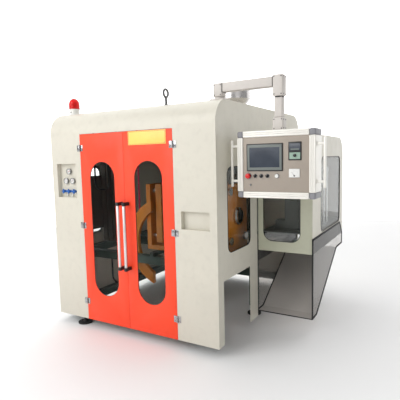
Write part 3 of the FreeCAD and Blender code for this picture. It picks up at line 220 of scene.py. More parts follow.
def make_materials():
    """Every finish of the machine, by name."""
    tone = colours()
    steel = (0.58, 0.58, 0.57)
    return {
        # The cabinet's colour is made darker towards the bottom.
        "cabinet": finish_material("cabinet_powder_coat", tone.cabinet, (0.32, 0.46),
                                   depth=0.025, bottom_darkening=0.25),
        "extension": finish_material("extension_powder_coat", tone.extension, (0.34, 0.48),
                                     depth=0.03),
        "doors": finish_material("door_powder_coat", tone.doors, (0.42, 0.55), depth=0.04),
        "amber": finish_material("clamp_enamel", tone.machine, (0.28, 0.45), depth=0.12,
                                 patches=6.0),
        "frame": finish_material("frame_enamel", tone.frame_green, (0.4, 0.6), depth=0.15),
        "grey": finish_material("machine_grey_enamel", (0.20, 0.21, 0.20), (0.35, 0.55),
                                depth=0.1),
        "steel": finish_material("ground_steel", steel, (0.18, 0.34), 1.0, depth=0.08,
                                 stretch=(1.0, 1.0, 0.15)),
        "sheet_steel": finish_material("brushed_sheet_steel", (0.62, 0.60, 0.59),
                                       (0.22, 0.36), 1.0, depth=0.06,
                                       stretch=(0.2, 6.0, 6.0)),
        # Pale and only slightly metallic: partly the sheet's own grey-pink tone, partly painted
        # reflection. The lightened diffuse colour takes the place of the polished sheet's bright
        # reflections.
        "slide_sheet": finish_material("slide_sheet_painted_reflection", (0.90, 0.85, 0.81),
                                       (0.10, 0.22), 0.3, depth=0.05, patches=3.5,
                                       bump=0.02, wear=0.1),
        "chrome": finish_material("bright_chrome", (0.42, 0.42, 0.43), (0.12, 0.22), 1.0,
                                  depth=0.03, bump=0.01),
        "satin": finish_material("satin_aluminium", (0.80, 0.80, 0.80), (0.3, 0.42), 0.7,
                                 depth=0.03, stretch=(3.0, 3.0, 0.1)),
        "rail": finish_material("box_extrusion", (0.88, 0.86, 0.80), (0.3, 0.45), 0.15,
                                depth=0.02, stretch=(1.0, 1.0, 0.2)),
        # Painted shade: the corner caps' dark grey stands in for the shadow that recessed corners
        # sit in.
        "corner": finish_material("box_corner_painted_shade", (0.25, 0.25, 0.27), (0.4, 0.55),
                                  depth=0.06),
        "taupe": finish_material("box_champagne", (0.36, 0.31, 0.26), (0.32, 0.42), 0.2,
                                 depth=0.03),
        "arm": finish_material("arm_powder_coat", (0.62, 0.58, 0.54), (0.4, 0.55),
                               depth=0.05),
        "black": finish_material("black_moulding", (0.012, 0.012, 0.013), (0.35, 0.5),
                                 depth=0.2),
        "rubber": finish_material("black_rubber", (0.015, 0.015, 0.015), (0.6, 0.8),
                                  depth=0.2),
        "white": finish_material("white_moulding", (0.82, 0.82, 0.79), (0.3, 0.4),
                                 depth=0.03),
        "red": finish_material("red_moulding", (0.66, 0.012, 0.012), (0.22, 0.34),
                               depth=0.05),
        "blue": finish_material("blue_moulding", (0.015, 0.11, 0.42), (0.25, 0.4),
                                depth=0.06),
        "plate": finish_material("plate_enamel", tone.plate, (0.3, 0.42), depth=0.02),
        "plate_mark": finish_material("plate_print", (0.42, 0.06, 0.02), (0.35, 0.45)),
        "duct": finish_material("duct_grey_brown", (0.10, 0.085, 0.07), (0.35, 0.5),
                                depth=0.12, stretch=(1.0, 1.0, 0.2)),
        "pink": finish_material("magenta_hose", (0.78, 0.06, 0.17), (0.3, 0.42),
                                depth=0.06),
        "gauge_rim": finish_material("gauge_rim_steel", (0.30, 0.30, 0.31), (0.2, 0.3), 1.0,
                                     depth=0.05),
        "dark_steel": finish_material("dark_steel", (0.14, 0.14, 0.14), (0.3, 0.45), 0.8,
                                      depth=0.15),
        "screen_grey": finish_material("screen_bezel_grey", (0.16, 0.18, 0.17), (0.35, 0.45),
                                       depth=0.05),
        "lens": sheet_material("gauge_lens", (0.97, 0.97, 0.97), 0.01, 1.0, 1.1),
        "screen": finish_material("dark_screen", (0.035, 0.045, 0.065), (0.1, 0.18),
                                  depth=0.1, patches=9.0, bump=0.0, coat=0.4),
        "display": finish_material("lit_display", (0.30, 0.42, 0.34), (0.2, 0.3)),
        "clear": sheet_material("clear_acrylic", (0.93, 0.95, 0.94), 0.01, 1.0, 1.12),
        "smoked": sheet_material("smoked_acrylic", (0.66, 0.64, 0.62), 0.04, 0.9, 1.2),
        "lamp": sheet_material("lamp_red_plastic", (0.85, 0.02, 0.02), 0.08, 0.45, 1.3),
    }


MATERIALS = {}

NODE_FINISH = {
    "cabinet": ("enclosure_shell", "left_side_panel", "right_side_panel",
                "extension_shell", "front_trays"),
    "extension": ("extension_front_panel",),
    "clear": ("window_panes", "left_door_pane", "right_door_pane"),
    "smoked": ("chute_walls",),
    "chrome": ("fixed_hinges",),
    "steel": ("tie_bars", "blow_pin", "guide_rods", "lifting_eye", "extruder_screw",
              "clamp_ram"),
    "sheet_steel": ("hopper", "switch_bezels"),
    "slide_sheet": ("chute_slide",),
    "white": ("pressure_dials", "lamp_base", "start_button", "panel_meter"),
    "frame": ("main_frame",),
    "rubber": ("levelling_feet", "oil_hoses"),
    "pink": ("air_hoses",),
    "duct": ("cable_ducts",),
    "doors": ("left_door", "right_door"),
    "satin": ("left_door_handle", "right_door_handle"),
    "plate": ("door_plate",),
    "blue": ("air_tap_1", "air_tap_2", "air_tap_3"),
    "amber": ("carriage", "left_platen", "right_platen"),
    "grey": ("die_head", "extruder", "blow_bracket", "air_manifold"),
    "lamp": ("lamp_dome",),
    "red": ("stop_button",),
    "arm": ("arm_pedestal", "arm_castings", "arm_tubes", "box_collar"),
    "rail": ("box_rails", "box_handles"),
    "corner": ("box_corners",),
    "taupe": ("box_plates",),
    "black": ("touch_screen", "speed_controller", "speed_knob", "selector_1",
              "selector_2", "selector_3"),
}


# ------------------------------------------------------------------ modelling helpers

def deselect():
    if bpy.context.object and bpy.context.object.mode != "OBJECT":
        bpy.ops.object.mode_set(mode="OBJECT")
    bpy.ops.object.select_all(action="DESELECT")


def activate(item):
    deselect()
    item.select_set(True)
    bpy.context.view_layer.objects.active = item
    return item


def apply_place(item):
    activate(item)
    bpy.ops.object.transform_apply(location=True, rotation=True, scale=True)
    return item


def bevel(item, width, segments=3, angle=35.0):
    if not width:
        return item
    modifier = item.modifiers.new("Bevel", "BEVEL")
    modifier.width = width
    modifier.segments = segments
    modifier.limit_method = "ANGLE"
    modifier.angle_limit = math.radians(angle)
    activate(item)
    bpy.ops.object.modifier_apply(modifier=modifier.name)
    bpy.ops.object.shade_smooth_by_angle(angle=math.radians(angle))
    return item


def bar(low, high, edge=0.002, segments=3):
    """A block between two corners with its edges rounded."""
    deselect()
    low, high = Vector(low), Vector(high)
    bpy.ops.mesh.primitive_cube_add(size=1.0, location=(low + high) / 2)
    item = bpy.context.object
    item.scale = high - low
    apply_place(item)
    return bevel(item, edge, segments)


AXIS_TURN = {"Z": (0.0, 0.0, 0.0), "X": (0.0, math.pi / 2, 0.0),
             "Y": (-math.pi / 2, 0.0, 0.0), "-Y": (math.pi / 2, 0.0, 0.0)}


def turned(base, axis, profile, sides=48, angle=35.0):
    """A round piece: its end face is extruded and resized along a (radius, height) profile."""
    deselect()
    bpy.ops.mesh.primitive_circle_add(vertices=sides, radius=profile[0][0],
                                      fill_type="NGON", location=(0, 0, profile[0][1]))
    item = bpy.context.object
    apply_place(item)
    bpy.ops.object.mode_set(mode="EDIT")
    bpy.ops.mesh.select_all(action="SELECT")
    for (radius, height), (next_radius, next_height) in zip(profile, profile[1:]):
        bpy.ops.mesh.extrude_region_move(
            TRANSFORM_OT_translate={"value": (0, 0, next_height - height)})
        ratio = next_radius / radius
        bpy.ops.transform.resize(value=(ratio, ratio, 1.0),
                                 center_override=(0, 0, next_height))
    bpy.ops.mesh.select_all(action="SELECT")
    bpy.ops.mesh.normals_make_consistent(inside=False)
    bpy.ops.object.mode_set(mode="OBJECT")
    item.rotation_euler = AXIS_TURN[axis]
    item.location = base
    apply_place(item)
    bpy.ops.object.shade_smooth_by_angle(angle=math.radians(angle))
    return item


def hoop(centre, axis, radius, wire, turns=48, sides=14):
    deselect()
    bpy.ops.mesh.primitive_torus_add(
        location=centre, rotation=AXIS_TURN[axis], major_radius=radius, minor_radius=wire,
        major_segments=turns, minor_segments=sides)
    item = bpy.context.object
    apply_place(item)
    bpy.ops.object.shade_smooth()
    return item


def swept(points, radius, closed=False, order=3):
    """A round tube along a smooth line through a few control points, as a mesh."""
    curve = bpy.data.curves.new("line", "CURVE")
    curve.dimensions = "3D"
    curve.bevel_depth = radius
    curve.bevel_resolution = 4
    curve.resolution_u = 10
    curve.use_fill_caps = True
    line = curve.splines.new("NURBS")
    line.points.add(len(points) - 1)
    for point, place in zip(line.points, points):
        point.co = (*place, 1.0)
    line.order_u = order
    line.use_endpoint_u = not closed
    line.use_cyclic_u = closed
    item = bpy.data.objects.new("line", curve)
    bpy.context.collection.objects.link(item)
    activate(item)
    bpy.ops.object.convert(target="MESH")
    item = bpy.context.object
    bpy.ops.object.shade_smooth()
    return item


def joined(items):
    deselect()
    for item in items:
        item.select_set(True)
    bpy.context.view_layer.objects.active = items[0]
    if len(items) > 1:
        bpy.ops.object.join()
    return bpy.context.object


def piece(item, name, body, material, replaces=()):
    """Name a finished piece, give it its finish and let it ride on its body."""
    item.name = name
    item.data.name = name
    item.data.materials.clear()
    item.data.materials.append(MATERIALS[material])
    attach(item, body)
    if replaces:
        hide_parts(*replaces)
    return item


def cutting(item, *tools):
    """Take closed tools out of an item by boolean difference, and remove the tools."""
    for tool in tools:
        modifier = item.modifiers.new("Cut", "BOOLEAN")
        modifier.operation = "DIFFERENCE"
        modifier.solver = "EXACT"
        modifier.object = tool
        activate(item)
        bpy.ops.object.modifier_apply(modifier=modifier.name)
        bpy.data.objects.remove(tool, do_unlink=True)
    return item


def screw(place, axis, radius=0.0045, lift=0.0025):
    """A pan screw head with a hexagon socket, standing on a face along an axis."""
    head = turned(place, axis, ((radius, 0.0), (radius, lift * 0.55), (radius * 0.7, lift)),
                  20)
    socket = turned(place, axis, ((radius * 0.42, lift * 0.5), (radius * 0.42, lift * 1.4)),
                    6)
    return cutting(head, socket)


def upright_slot(x, low, high, wide, front, deep, sides=48):
    """A closed upright slot with round ends, in millimetres, that runs back from front."""
    half = wide / 2
    parts = [turned(mm(x, front, z), "Y", ((half / 1000, 0.0), (half / 1000, deep / 1000)),
                    sides) for z in (low + half, high - half)]
    parts.append(bar(mm(x - half, front, low + half), mm(x + half, front + deep, high - half),
                     0.0))
    whole = parts[0]
    for other in parts[1:]:
        modifier = whole.modifiers.new("Join", "BOOLEAN")
        modifier.operation = "UNION"
        modifier.solver = "EXACT"
        modifier.object = other
        activate(whole)
        bpy.ops.object.modifier_apply(modifier=modifier.name)
        bpy.data.objects.remove(other, do_unlink=True)
    return whole


def slot_line(x, low, high, wide, y, count=24):
    """Points round an upright slot's edge, in millimetres."""
    half = wide / 2
    points = []
    for centre, start in ((high - half, 0.0), (low + half, math.pi)):
        for step in range(count + 1):
            turn = start + math.pi * step / count
            points.append(mm(x + half * math.cos(turn), y, centre + half * math.sin(turn)))
    return points


# ------------------------------------------------------------------ places

# Millimetres in the cabinet's own axes, the same places as the frame's.
SKIRT, ROOF, SKIN = 85, 2175, 3
DOOR_TOP, DOOR_DEPTH, DOOR_RIM = 1949, 25, 30
PORT_LOW, PORT_HIGH, PORT_WIDE = 362, 1679, 310
HINGE_TALL, KNUCKLE = 60, 7
GRIP_LOW, GRIP_HIGH, GRIP_REACH, GRIP_BLOCK = 665, 1305, 65, 32
PLATE_LEFT, PLATE_RIGHT, PLATE_LOW, PLATE_HIGH = 1022, 1437, 1824, 1946
TRAY_BACK, TAP_Z, TAP_X = 46, 1386, (129.5, 203.5, 277.5)
LAMP_X, LAMP_Y = 95, 252
EYE_X, EYE_Y, EYE_Z = 1245, 300, 2301
PIVOT_X, ELBOW_X, ARM_Y = 1824, 2357, 270
BOX_WIDE, BOX_TALL, BOX_BAR, BOX_FRONT, BOX_REAR, BOX_FACE = 641, 535, 50, 150, 330, 162
KNOB_X, KNOB_Z, METER_X, METER_Z = 2517.5, 1696, 2513.5, 1541
LOCK_X, LOCK_Z = 2150.5, 1467
SEAL_WIRE = 0.0032


# ------------------------------------------------------------------ pieces

DOORS = (("left_door", "left", 412.0, 955.5, 683.0, 409.0, 1.0),
         ("right_door", "right", 958.5, 1502.0, 1231.0, 1505.0, -1.0))
HINGE_LEVELS = (246.0, 1020.0, 1785.0)


class BLOWMOULDER_OT_doors(bpy.types.Operator):
    """Build the two folded door leaves with their window seals and hinge leaves"""
    bl_idname = "blowmoulder.doors"
    bl_label = "Doors"

    def execute(self, context):
        for body, side, left, right, centre, pin, sign in DOORS:
            leaf = bar(mm(left, 0, SKIRT), mm(right, DOOR_DEPTH, DOOR_TOP), 0.0)
            pan = bar(mm(left + DOOR_RIM, SKIN, SKIRT + DOOR_RIM),
                      mm(right - DOOR_RIM, DOOR_DEPTH + 5, DOOR_TOP - DOOR_RIM), 0.0)
            port = upright_slot(centre, PORT_LOW, PORT_HIGH, PORT_WIDE, -5, 20)
            cutting(leaf, pan, port)
            bevel(leaf, 0.0012, 2)
            piece(leaf, side + "_door_leaf", body, "doors", (body,))
            seal = swept(slot_line(centre, PORT_LOW, PORT_HIGH, PORT_WIDE - 4, 4.5), SEAL_WIRE,
                         closed=True, order=2)
            piece(seal, side + "_door_seal", body, "rubber")
            plates = []
            for level in HINGE_LEVELS:
                plates += hinge_leaf(pin, sign, level, (level + 20.5, level + 39.5))
            piece(joined(plates), side + "_door_hinge_leaves", body, "chrome",
                  (body,))
        return {"FINISHED"}


def hinge_leaf(pin, sign, level, *barrels):
    """One hinge leaf on the sign side of the pin, with its screws and barrels."""
    near, far = sorted((pin + sign * 6.5, pin + sign * 37.0))
    parts = [bar(mm(near, -SKIN, level), mm(far, 0, level + HINGE_TALL), 0.0009, 2)]
    for low, high in barrels:
        parts.append(turned(mm(pin, -KNUCKLE, low), "Z", (
            (0.0062, 0.0), (0.007, 0.0008), (0.007, (high - low) / 1000 - 0.0008),
            (0.0062, (high - low) / 1000)), 28))
    for z in (level + 14, level + 46):
        parts.append(screw(mm(pin + sign * 24, -3, z), "-Y", 0.0045, 0.002))
    return parts


class BLOWMOULDER_OT_fixed_hinges(bpy.types.Operator):
    """Build the hinge leaves on the cabinet with their pins"""
    bl_idname = "blowmoulder.fixed_hinges"
    bl_label = "Fixed hinges"

    def execute(self, context):
        parts = []
        for pin, sign in ((409.0, -1.0), (1505.0, 1.0)):
            for level in HINGE_LEVELS:
                parts += hinge_leaf(pin, sign, level, (level, level + 20),
                                    (level + 40, level + HINGE_TALL))
                parts.append(turned(mm(pin, -KNUCKLE, level - 2), "Z", (
                    (0.0025, 0.0), (0.0035, 0.002), (0.003, 0.004), (0.003, 0.060),
                    (0.0035, 0.0615), (0.0025, 0.064)), 20))
        piece(joined(parts), "hinges_on_cabinet", "root", "chrome",
              ("fixed_hinges",))
        return {"FINISHED"}


class BLOWMOULDER_OT_door_handles(bpy.types.Operator):
    """Build the tubular door handles with their black end brackets"""
    bl_idname = "blowmoulder.door_handles"
    bl_label = "Door handles"

    def execute(self, context):
        radius = sizes().grip_radius
        for body, x in (("left_door", 921.0), ("right_door", 993.0)):
            node = body + "_handle"
            grip = turned(mm(x, -GRIP_REACH, GRIP_LOW + 25), "Z", (
                (radius * 0.9, 0.0), (radius, 0.002), (radius, 0.588),
                (radius * 0.9, 0.590)), 40)
            piece(grip, node + "_grip", body, "satin", (node,))
            ends = []
            for low, high in ((GRIP_LOW, GRIP_LOW + GRIP_BLOCK),
                              (GRIP_HIGH - GRIP_BLOCK, GRIP_HIGH)):
                ends.append(bar(mm(x - 15, -80, low), mm(x + 15, 0, high), 0.006, 4))
                ends.append(turned(mm(x, -GRIP_REACH, low), "Z", (
                    (0.0155, 0.0), (0.016, 0.001), (0.016, 0.031), (0.0155, 0.032)), 32))
            piece(joined(ends), node + "_brackets", body, "black", (node,))
        return {"FINISHED"}


class BLOWMOULDER_OT_door_plate(bpy.types.Operator):
    """Build the plain yellow plate of the right door with its border and rivets"""
    bl_idname = "blowmoulder.door_plate"
    bl_label = "Door plate"

    def execute(self, context):
        plate = bar(mm(PLATE_LEFT, -1.5, PLATE_LOW), mm(PLATE_RIGHT, 0, PLATE_HIGH), 0.0005,
                    2)
        piece(plate, "door_plate_sheet", "right_door", "plate",
              ("door_plate",))
        frame_parts = []
        left, right = PLATE_LEFT + 6, PLATE_RIGHT - 6
        base, top = PLATE_LOW + 6, PLATE_HIGH - 6
        for low, high in (((left, base), (right, base + 2)), ((left, top - 2), (right, top)),
                          ((left, base + 2), (left + 2, top - 2)),
                          ((right - 2, base + 2), (right, top - 2))):
            frame_parts.append(bar(mm(low[0], -1.9, low[1]), mm(high[0], -1.4, high[1]),
                                   0.0001, 1))
        piece(joined(frame_parts), "door_plate_border", "right_door", "plate_mark")
        rivets = [turned(mm(x, -1.4, z), "-Y", ((0.003, 0.0), (0.0028, 0.0008),
                                               (0.0015, 0.0015)), 18)
                  for x in (PLATE_LEFT + 14, PLATE_RIGHT - 14)
                  for z in (PLATE_LOW + 14, PLATE_HIGH - 14)]
        piece(joined(rivets), "door_plate_rivets", "right_door", "chrome",
              ("door_plate",))
        return {"FINISHED"}


class BLOWMOULDER_OT_gauges(bpy.types.Operator):
    """Build the three pressure gauges: case, bezel, scale, needle and glass"""
    bl_idname = "blowmoulder.gauges"
    bl_label = "Gauges"

    def execute(self, context):
        cases, faces, marks, needles, glasses = [], [], [], [], []
        for x, z, reading in ((157.5, 1491, 20), (249.5, 1491, -35), (203.5, 1588, -60)):
            cases.append(turned(mm(x, TRAY_BACK, z), "-Y", (
                (0.024, 0.0), (0.029, 0.003), (0.029, 0.016), (0.030, 0.018),
                (0.030, 0.0215), (0.0285, 0.022), (0.0265, 0.022), (0.0260, 0.0175)), 56))
            faces.append(turned(mm(x, 28.8, z), "-Y", ((0.0262, 0.0), (0.0262, 0.0006)), 56))
            for step in range(13):
                turn = math.radians(225 - step * 22.5)
                long = 0.0046 if step % 3 == 0 else 0.003
                mark = bar(Vector((0.0232 - long, -0.0002, -0.0004)),
                           Vector((0.0232, 0.0002, 0.0004)), 0.0)
                mark.matrix_world = (Matrix.Translation(mm(x, 28.0, z))
                                     @ Matrix.Rotation(-turn, 4, "Y"))
                marks.append(apply_place(mark))
            needle = bar(Vector((-0.006, -0.0003, -0.0007)), Vector((0.018, 0.0003, 0.0007)),
                         0.0002, 1)
            needle.matrix_world = (Matrix.Translation(mm(x, 27.2, z))
                                   @ Matrix.Rotation(math.radians(-90 - reading), 4, "Y"))
            needles.append(apply_place(needle))
            needles.append(turned(mm(x, 27.6, z), "-Y", ((0.0026, 0.0), (0.0022, 0.0012)),
                                  20))
            glasses.append(turned(mm(x, 25.6, z), "-Y", ((0.0262, 0.0), (0.0262, 0.0006),
                                                         (0.02, 0.0013)), 48))
        piece(joined(cases), "gauge_cases", "root", "gauge_rim",
              ("pressure_dials",))
        piece(joined(faces), "gauge_faces", "root", "white",
              ("pressure_dials",))
        piece(joined(marks), "gauge_scales", "root", "black")
        piece(joined(needles), "gauge_needles", "root", "red")
        piece(joined(glasses), "gauge_glasses", "root", "lens")
        return {"FINISHED"}


class BLOWMOULDER_OT_air_taps(bpy.types.Operator):
    """Build the three blue air taps with their push-in fittings"""
    bl_idname = "blowmoulder.air_taps"
    bl_label = "Air taps"

    def execute(self, context):
        fittings = []
        for number, x in enumerate(TAP_X, start=1):
            name = "air_tap_%d" % number
            knob = turned(mm(x, TRAY_BACK, TAP_Z), "-Y", (
                (0.011, 0.0), (0.011, 0.005), (0.0145, 0.006), (0.015, 0.008),
                (0.015, 0.037), (0.0138, 0.039)), 36)
            wing = bar(mm(x - 4, 6.7, TAP_Z - 24), mm(x + 4, 22, TAP_Z + 24), 0.0022, 4)
            piece(joined([knob, wing]), name + "_knob", name, "blue", (name,))
        for x in (166.5, 240.5):
            fittings.append(turned(mm(x - 20, 34, TAP_Z), "X", (
                (0.009, 0.0), (0.010, 0.001), (0.010, 0.039), (0.009, 0.040)), 28))
        piece(joined(fittings), "tap_bridge", "root", "blue")
        stubs = [turned(mm(x, 34, TAP_Z - 52), "Z", (
            (0.005, 0.0), (0.0065, 0.001), (0.0065, 0.014), (0.009, 0.016),
            (0.009, 0.027)), 24) for x in (166.5, 240.5)]
        piece(joined(stubs), "tap_outlets", "root", "white")
        return {"FINISHED"}


class BLOWMOULDER_OT_warning_lamp(bpy.types.Operator):
    """Build the warning lamp: base, ribbed lens and the bulb inside"""
    bl_idname = "blowmoulder.warning_lamp"
    bl_label = "Warning lamp"

    def execute(self, context):
        place = mm(LAMP_X, LAMP_Y, ROOF)
        base = turned(place, "Z", (
            (0.056, 0.0), (0.056, 0.004), (0.050, 0.006), (0.049, 0.052), (0.0555, 0.054),
            (0.057, 0.056), (0.057, 0.062)), 64)
        piece(base, "lamp_foot", "root", "white", ("lamp_base",))
        profile = [(0.0565, 0.062), (0.0565, 0.066), (0.055, 0.067), (0.055, 0.108)]
        profile += [(0.055 * math.cos(math.radians(turn)),
                     0.108 + 0.0675 * math.sin(math.radians(turn)))
                    for turn in range(10, 90, 10)]
        lens = turned(place, "Z", profile, 64, 60.0)
        piece(lens, "lamp_lens", "root", "lamp", ("lamp_dome",))
        bulb = turned(place, "Z", ((0.016, 0.064), (0.016, 0.085), (0.012, 0.09),
                                   (0.022, 0.105), (0.022, 0.12), (0.012, 0.135)), 32)
        piece(bulb, "lamp_bulb", "root", "white")
        rings = [hoop(place + Vector((0, 0, z)), "Z", 0.0552, 0.0011, 64, 8)
                 for z in (0.074, 0.084, 0.094, 0.104)]
        piece(joined(rings), "lamp_rings", "root", "lamp")
        button = turned(mm(LAMP_X, LAMP_Y - 48.5, ROOF + 28), "-Y", ((0.007, 0.0), (0.007, 0.001),
                                                    (0.005, 0.0025)), 24)
        piece(button, "lamp_test_button", "root", "black")
        return {"FINISHED"}


class BLOWMOULDER_OT_lifting_eye(bpy.types.Operator):
    """Build the forged lifting eye on its roof plate"""
    bl_idname = "blowmoulder.lifting_eye"
    bl_label = "Lifting eye"

    def execute(self, context):
        stem = turned(mm(EYE_X, EYE_Y, ROOF), "Z", (
            (0.030, 0.010), (0.030, 0.014), (0.018, 0.017), (0.0115, 0.028),
            (0.0115, 0.078), (0.016, 0.088), (0.012, 0.092)), 32)
        eye = hoop(mm(EYE_X, EYE_Y, EYE_Z), "X", 0.036, 0.0098, 56, 18)
        foot = bar(mm(EYE_X - 45, EYE_Y - 45, ROOF), mm(EYE_X + 45, EYE_Y + 45, ROOF + 10),
                   0.002)
        bolts = [screw(mm(EYE_X + x, EYE_Y + y, ROOF + 10), "Z", 0.007, 0.004)
                 for x in (-33, 33) for y in (-33, 33)]
        piece(joined([stem, eye, foot] + bolts), "forged_eye", "root", "dark_steel",
              ("lifting_eye",))
        return {"FINISHED"}


class BLOWMOULDER_OT_swivel_arm(bpy.types.Operator):
    """Build the swivel arm: pedestal, cast corners, box tube, seals and screws"""
    bl_idname = "blowmoulder.swivel_arm"
    bl_label = "Swivel arm"

    def execute(self, context):
        foot = [bar(mm(PIVOT_X - 67, ARM_Y - 67, ROOF),
                    mm(PIVOT_X + 67, ARM_Y + 67, ROOF + 12), 0.003),
                turned(mm(PIVOT_X, ARM_Y, ROOF + 12), "Z", ((0.042, 0.0), (0.042, 0.016),
                                                  (0.040, 0.018)), 48)]
        foot += [screw(mm(PIVOT_X + x, ARM_Y + y, ROOF + 12), "Z", 0.006, 0.003)
                 for x in (-53, 53) for y in (-53, 53)]
        piece(joined(foot), "pedestal", "root", "arm", ("arm_pedestal",))
        castings = [bar(mm(1782, 228, 2206), mm(1866, 312, 2319.5), 0.012, 5),
                    bar(mm(2314, 227, 2165), mm(2400, 313, 2331.5), 0.012, 5)]
        piece(joined(castings), "cast_corners", "swivel_arm", "arm",
              ("arm_castings",))
        tubes = [bar(mm(1864, 232.5, 2244.5), mm(2316, 307.5, 2319.5), 0.006, 4),
                 bar(mm(2326, 239, 2001), mm(2388, 301, 2158), 0.005, 4)]
        piece(joined(tubes), "box_tubes", "swivel_arm", "arm", ("arm_tubes",))
        seals = [bar(mm(1865, 230, 2242), mm(1870, 310, 2320), 0.001, 1),
                 bar(mm(2310, 230, 2242), mm(2314.5, 310, 2320), 0.001, 1),
                 turned(mm(ELBOW_X, ARM_Y, 2157), "Z", ((0.0365, 0.0), (0.0365, 0.008)), 48),
                 turned(mm(PIVOT_X, ARM_Y, 2205.3), "Z", ((0.040, 0.0), (0.040, 0.0007)), 48)]
        piece(joined(seals), "arm_seals", "swivel_arm", "rubber")
        screws = [screw(mm(x, 228, z), "-Y", 0.005, 0.002)
                  for x in (1795, 1853) for z in (2222, 2304)]
        screws += [screw(mm(x, 227, z), "-Y", 0.005, 0.002)
                   for x in (2328, 2386) for z in (2180, 2316)]
        screws += [screw(mm(2400, y, z), "X", 0.005, 0.002)
                   for y in (241, 299) for z in (2180, 2316)]
        piece(joined(screws), "arm_screws", "swivel_arm", "dark_steel")
        collar = bar(mm(2314, 227, 1897), mm(2400, 313, 2000), 0.009, 5)
        piece(collar, "collar_casting", "control_box", "arm", ("box_collar",))
        dots = [screw(mm(2400, y, z), "X", 0.006, 0.002)
                for y in (245, 295) for z in (1915, 1982)]
        dots += [screw(mm(x, 227, z), "-Y", 0.005, 0.002)
                 for x in (2326, 2388) for z in (1912, 1985)]
        piece(joined(dots), "collar_screws", "control_box", "dark_steel")
        return {"FINISHED"}


BOX_LEFT, BOX_TOP = 2036.5, 1897.0
SWITCH_Z, SWITCH_X = 1539.0, (2190.5, 2242.5, 2294.5)
STOP_X, START_X = 2131.5, 2373.5


def stem_bore(x):
    """A closed cylinder that clears a push button's stem through its ring and the plate."""
    return turned(mm(x, 170, SWITCH_Z), "-Y", ((0.0078, 0.0), (0.0078, 0.016)), 40)


class BLOWMOULDER_OT_box_case(bpy.types.Operator):
    """Build the control box's grooved rails, moulded corners, plates and grab handles"""
    bl_idname = "blowmoulder.box_case"
    bl_label = "Control box case"

    def execute(self, context):
        left, top, low = BOX_LEFT, BOX_TOP, BOX_TOP - BOX_TALL
        right = left + BOX_WIDE
        rails = []
        edge = BOX_BAR
        for first, last in (((left + edge, top - edge), (right - edge, top)),
                            ((left + edge, low), (right - edge, low + edge)),
                            ((left, low + edge), (left + edge, top - edge)),
                            ((right - edge, low + edge), (right, top - edge))):
            rail = bar(mm(first[0], BOX_FRONT, first[1]), mm(last[0], BOX_REAR, last[1]),
                       0.008, 5)
            flat = last[0] - first[0] > last[1] - first[1]
            grooves = []
            for share in (0.36, 0.64):
                if flat:
                    z = first[1] + edge * share
                    grooves.append(bar(mm(first[0] - 1, 148, z - 1), mm(last[0] + 1, 151, z + 1),
                                       0.0))
                else:
                    x = first[0] + edge * share
                    grooves.append(bar(mm(x - 1, 148, first[1] - 1), mm(x + 1, 151, last[1] + 1),
                                       0.0))
            rails.append(cutting(rail, *grooves))
        piece(joined(rails), "box_extrusions", "control_box", "rail",
              ("box_rails",))
        # The caps take the dark grey that paints the shade of recessed corners.
        corners = [bar(mm(x, BOX_FRONT + 2, z), mm(x + edge, BOX_REAR - 2, z + edge), 0.013, 6)
                   for x in (left, right - edge) for z in (low, top - edge)]
        piece(joined(corners), "box_corner_caps", "control_box", "corner",
              ("box_corners",))
        plates = [bar(mm(left + edge, y, low + edge),
                      mm(right - edge, y + SKIN, top - edge), 0.0008, 1)
                  for y in (BOX_FACE, 315)]
        cutting(plates[0], *[stem_bore(x) for x in (STOP_X, START_X)])
        activate(plates[0])
        bpy.ops.object.shade_flat()
        piece(joined(plates), "box_front_and_back", "control_box", "taupe",
              ("box_plates",))
        grips = []
        for side, sign in ((left, -1), (right, 1)):
            near, far = sorted((side + sign * 50, side + sign * 70))
            grips.append(bar(mm(near, 175, 1447), mm(far, 195, 1831), 0.006, 5))
            for z in (1771, 1487):
                low_x, high_x = sorted((side - sign * 1, side + sign * 54))
                grips.append(bar(mm(low_x, 175, z), mm(high_x, 195, z + 20), 0.005, 4))
                low_x, high_x = sorted((side, side + sign * 8))
                grips.append(bar(mm(low_x, 168, z - 8), mm(high_x, 202, z + 28), 0.003, 3))
        piece(joined(grips), "box_grab_handles", "control_box", "rail",
              ("box_handles",))
        return {"FINISHED"}


class BLOWMOULDER_OT_box_screen(bpy.types.Operator):
    """Build the touch screen: dark case, grey bezel and dim display"""
    bl_idname = "blowmoulder.box_screen"
    bl_label = "Touch screen"

    def execute(self, context):
        x0, x1, z0, z1 = 2118.5, 2422.5, 1577, 1795
        case = bar(mm(x0, 154, z0), mm(x1, 162, z1), 0.0034, 3)
        piece(case, "screen_case", "control_box", "black",
              ("touch_screen",))
        bezel = bar(mm(x0 + 8, 153.2, z0 + 8), mm(x1 - 8, 156, z1 - 8), 0.003, 3)
        hole = bar(mm(x0 + 26, 150, z0 + 30), mm(x1 - 26, 158, z1 - 30), 0.0)
        cutting(bezel, hole)
        piece(bezel, "screen_bezel", "control_box", "screen_grey",
              ("touch_screen",))
        glass = bar(mm(x0 + 25, 153.9, z0 + 29), mm(x1 - 25, 155, z1 - 29), 0.0003, 1)
        piece(glass, "screen_glass", "control_box", "screen",
              ("touch_screen",))
        return {"FINISHED"}


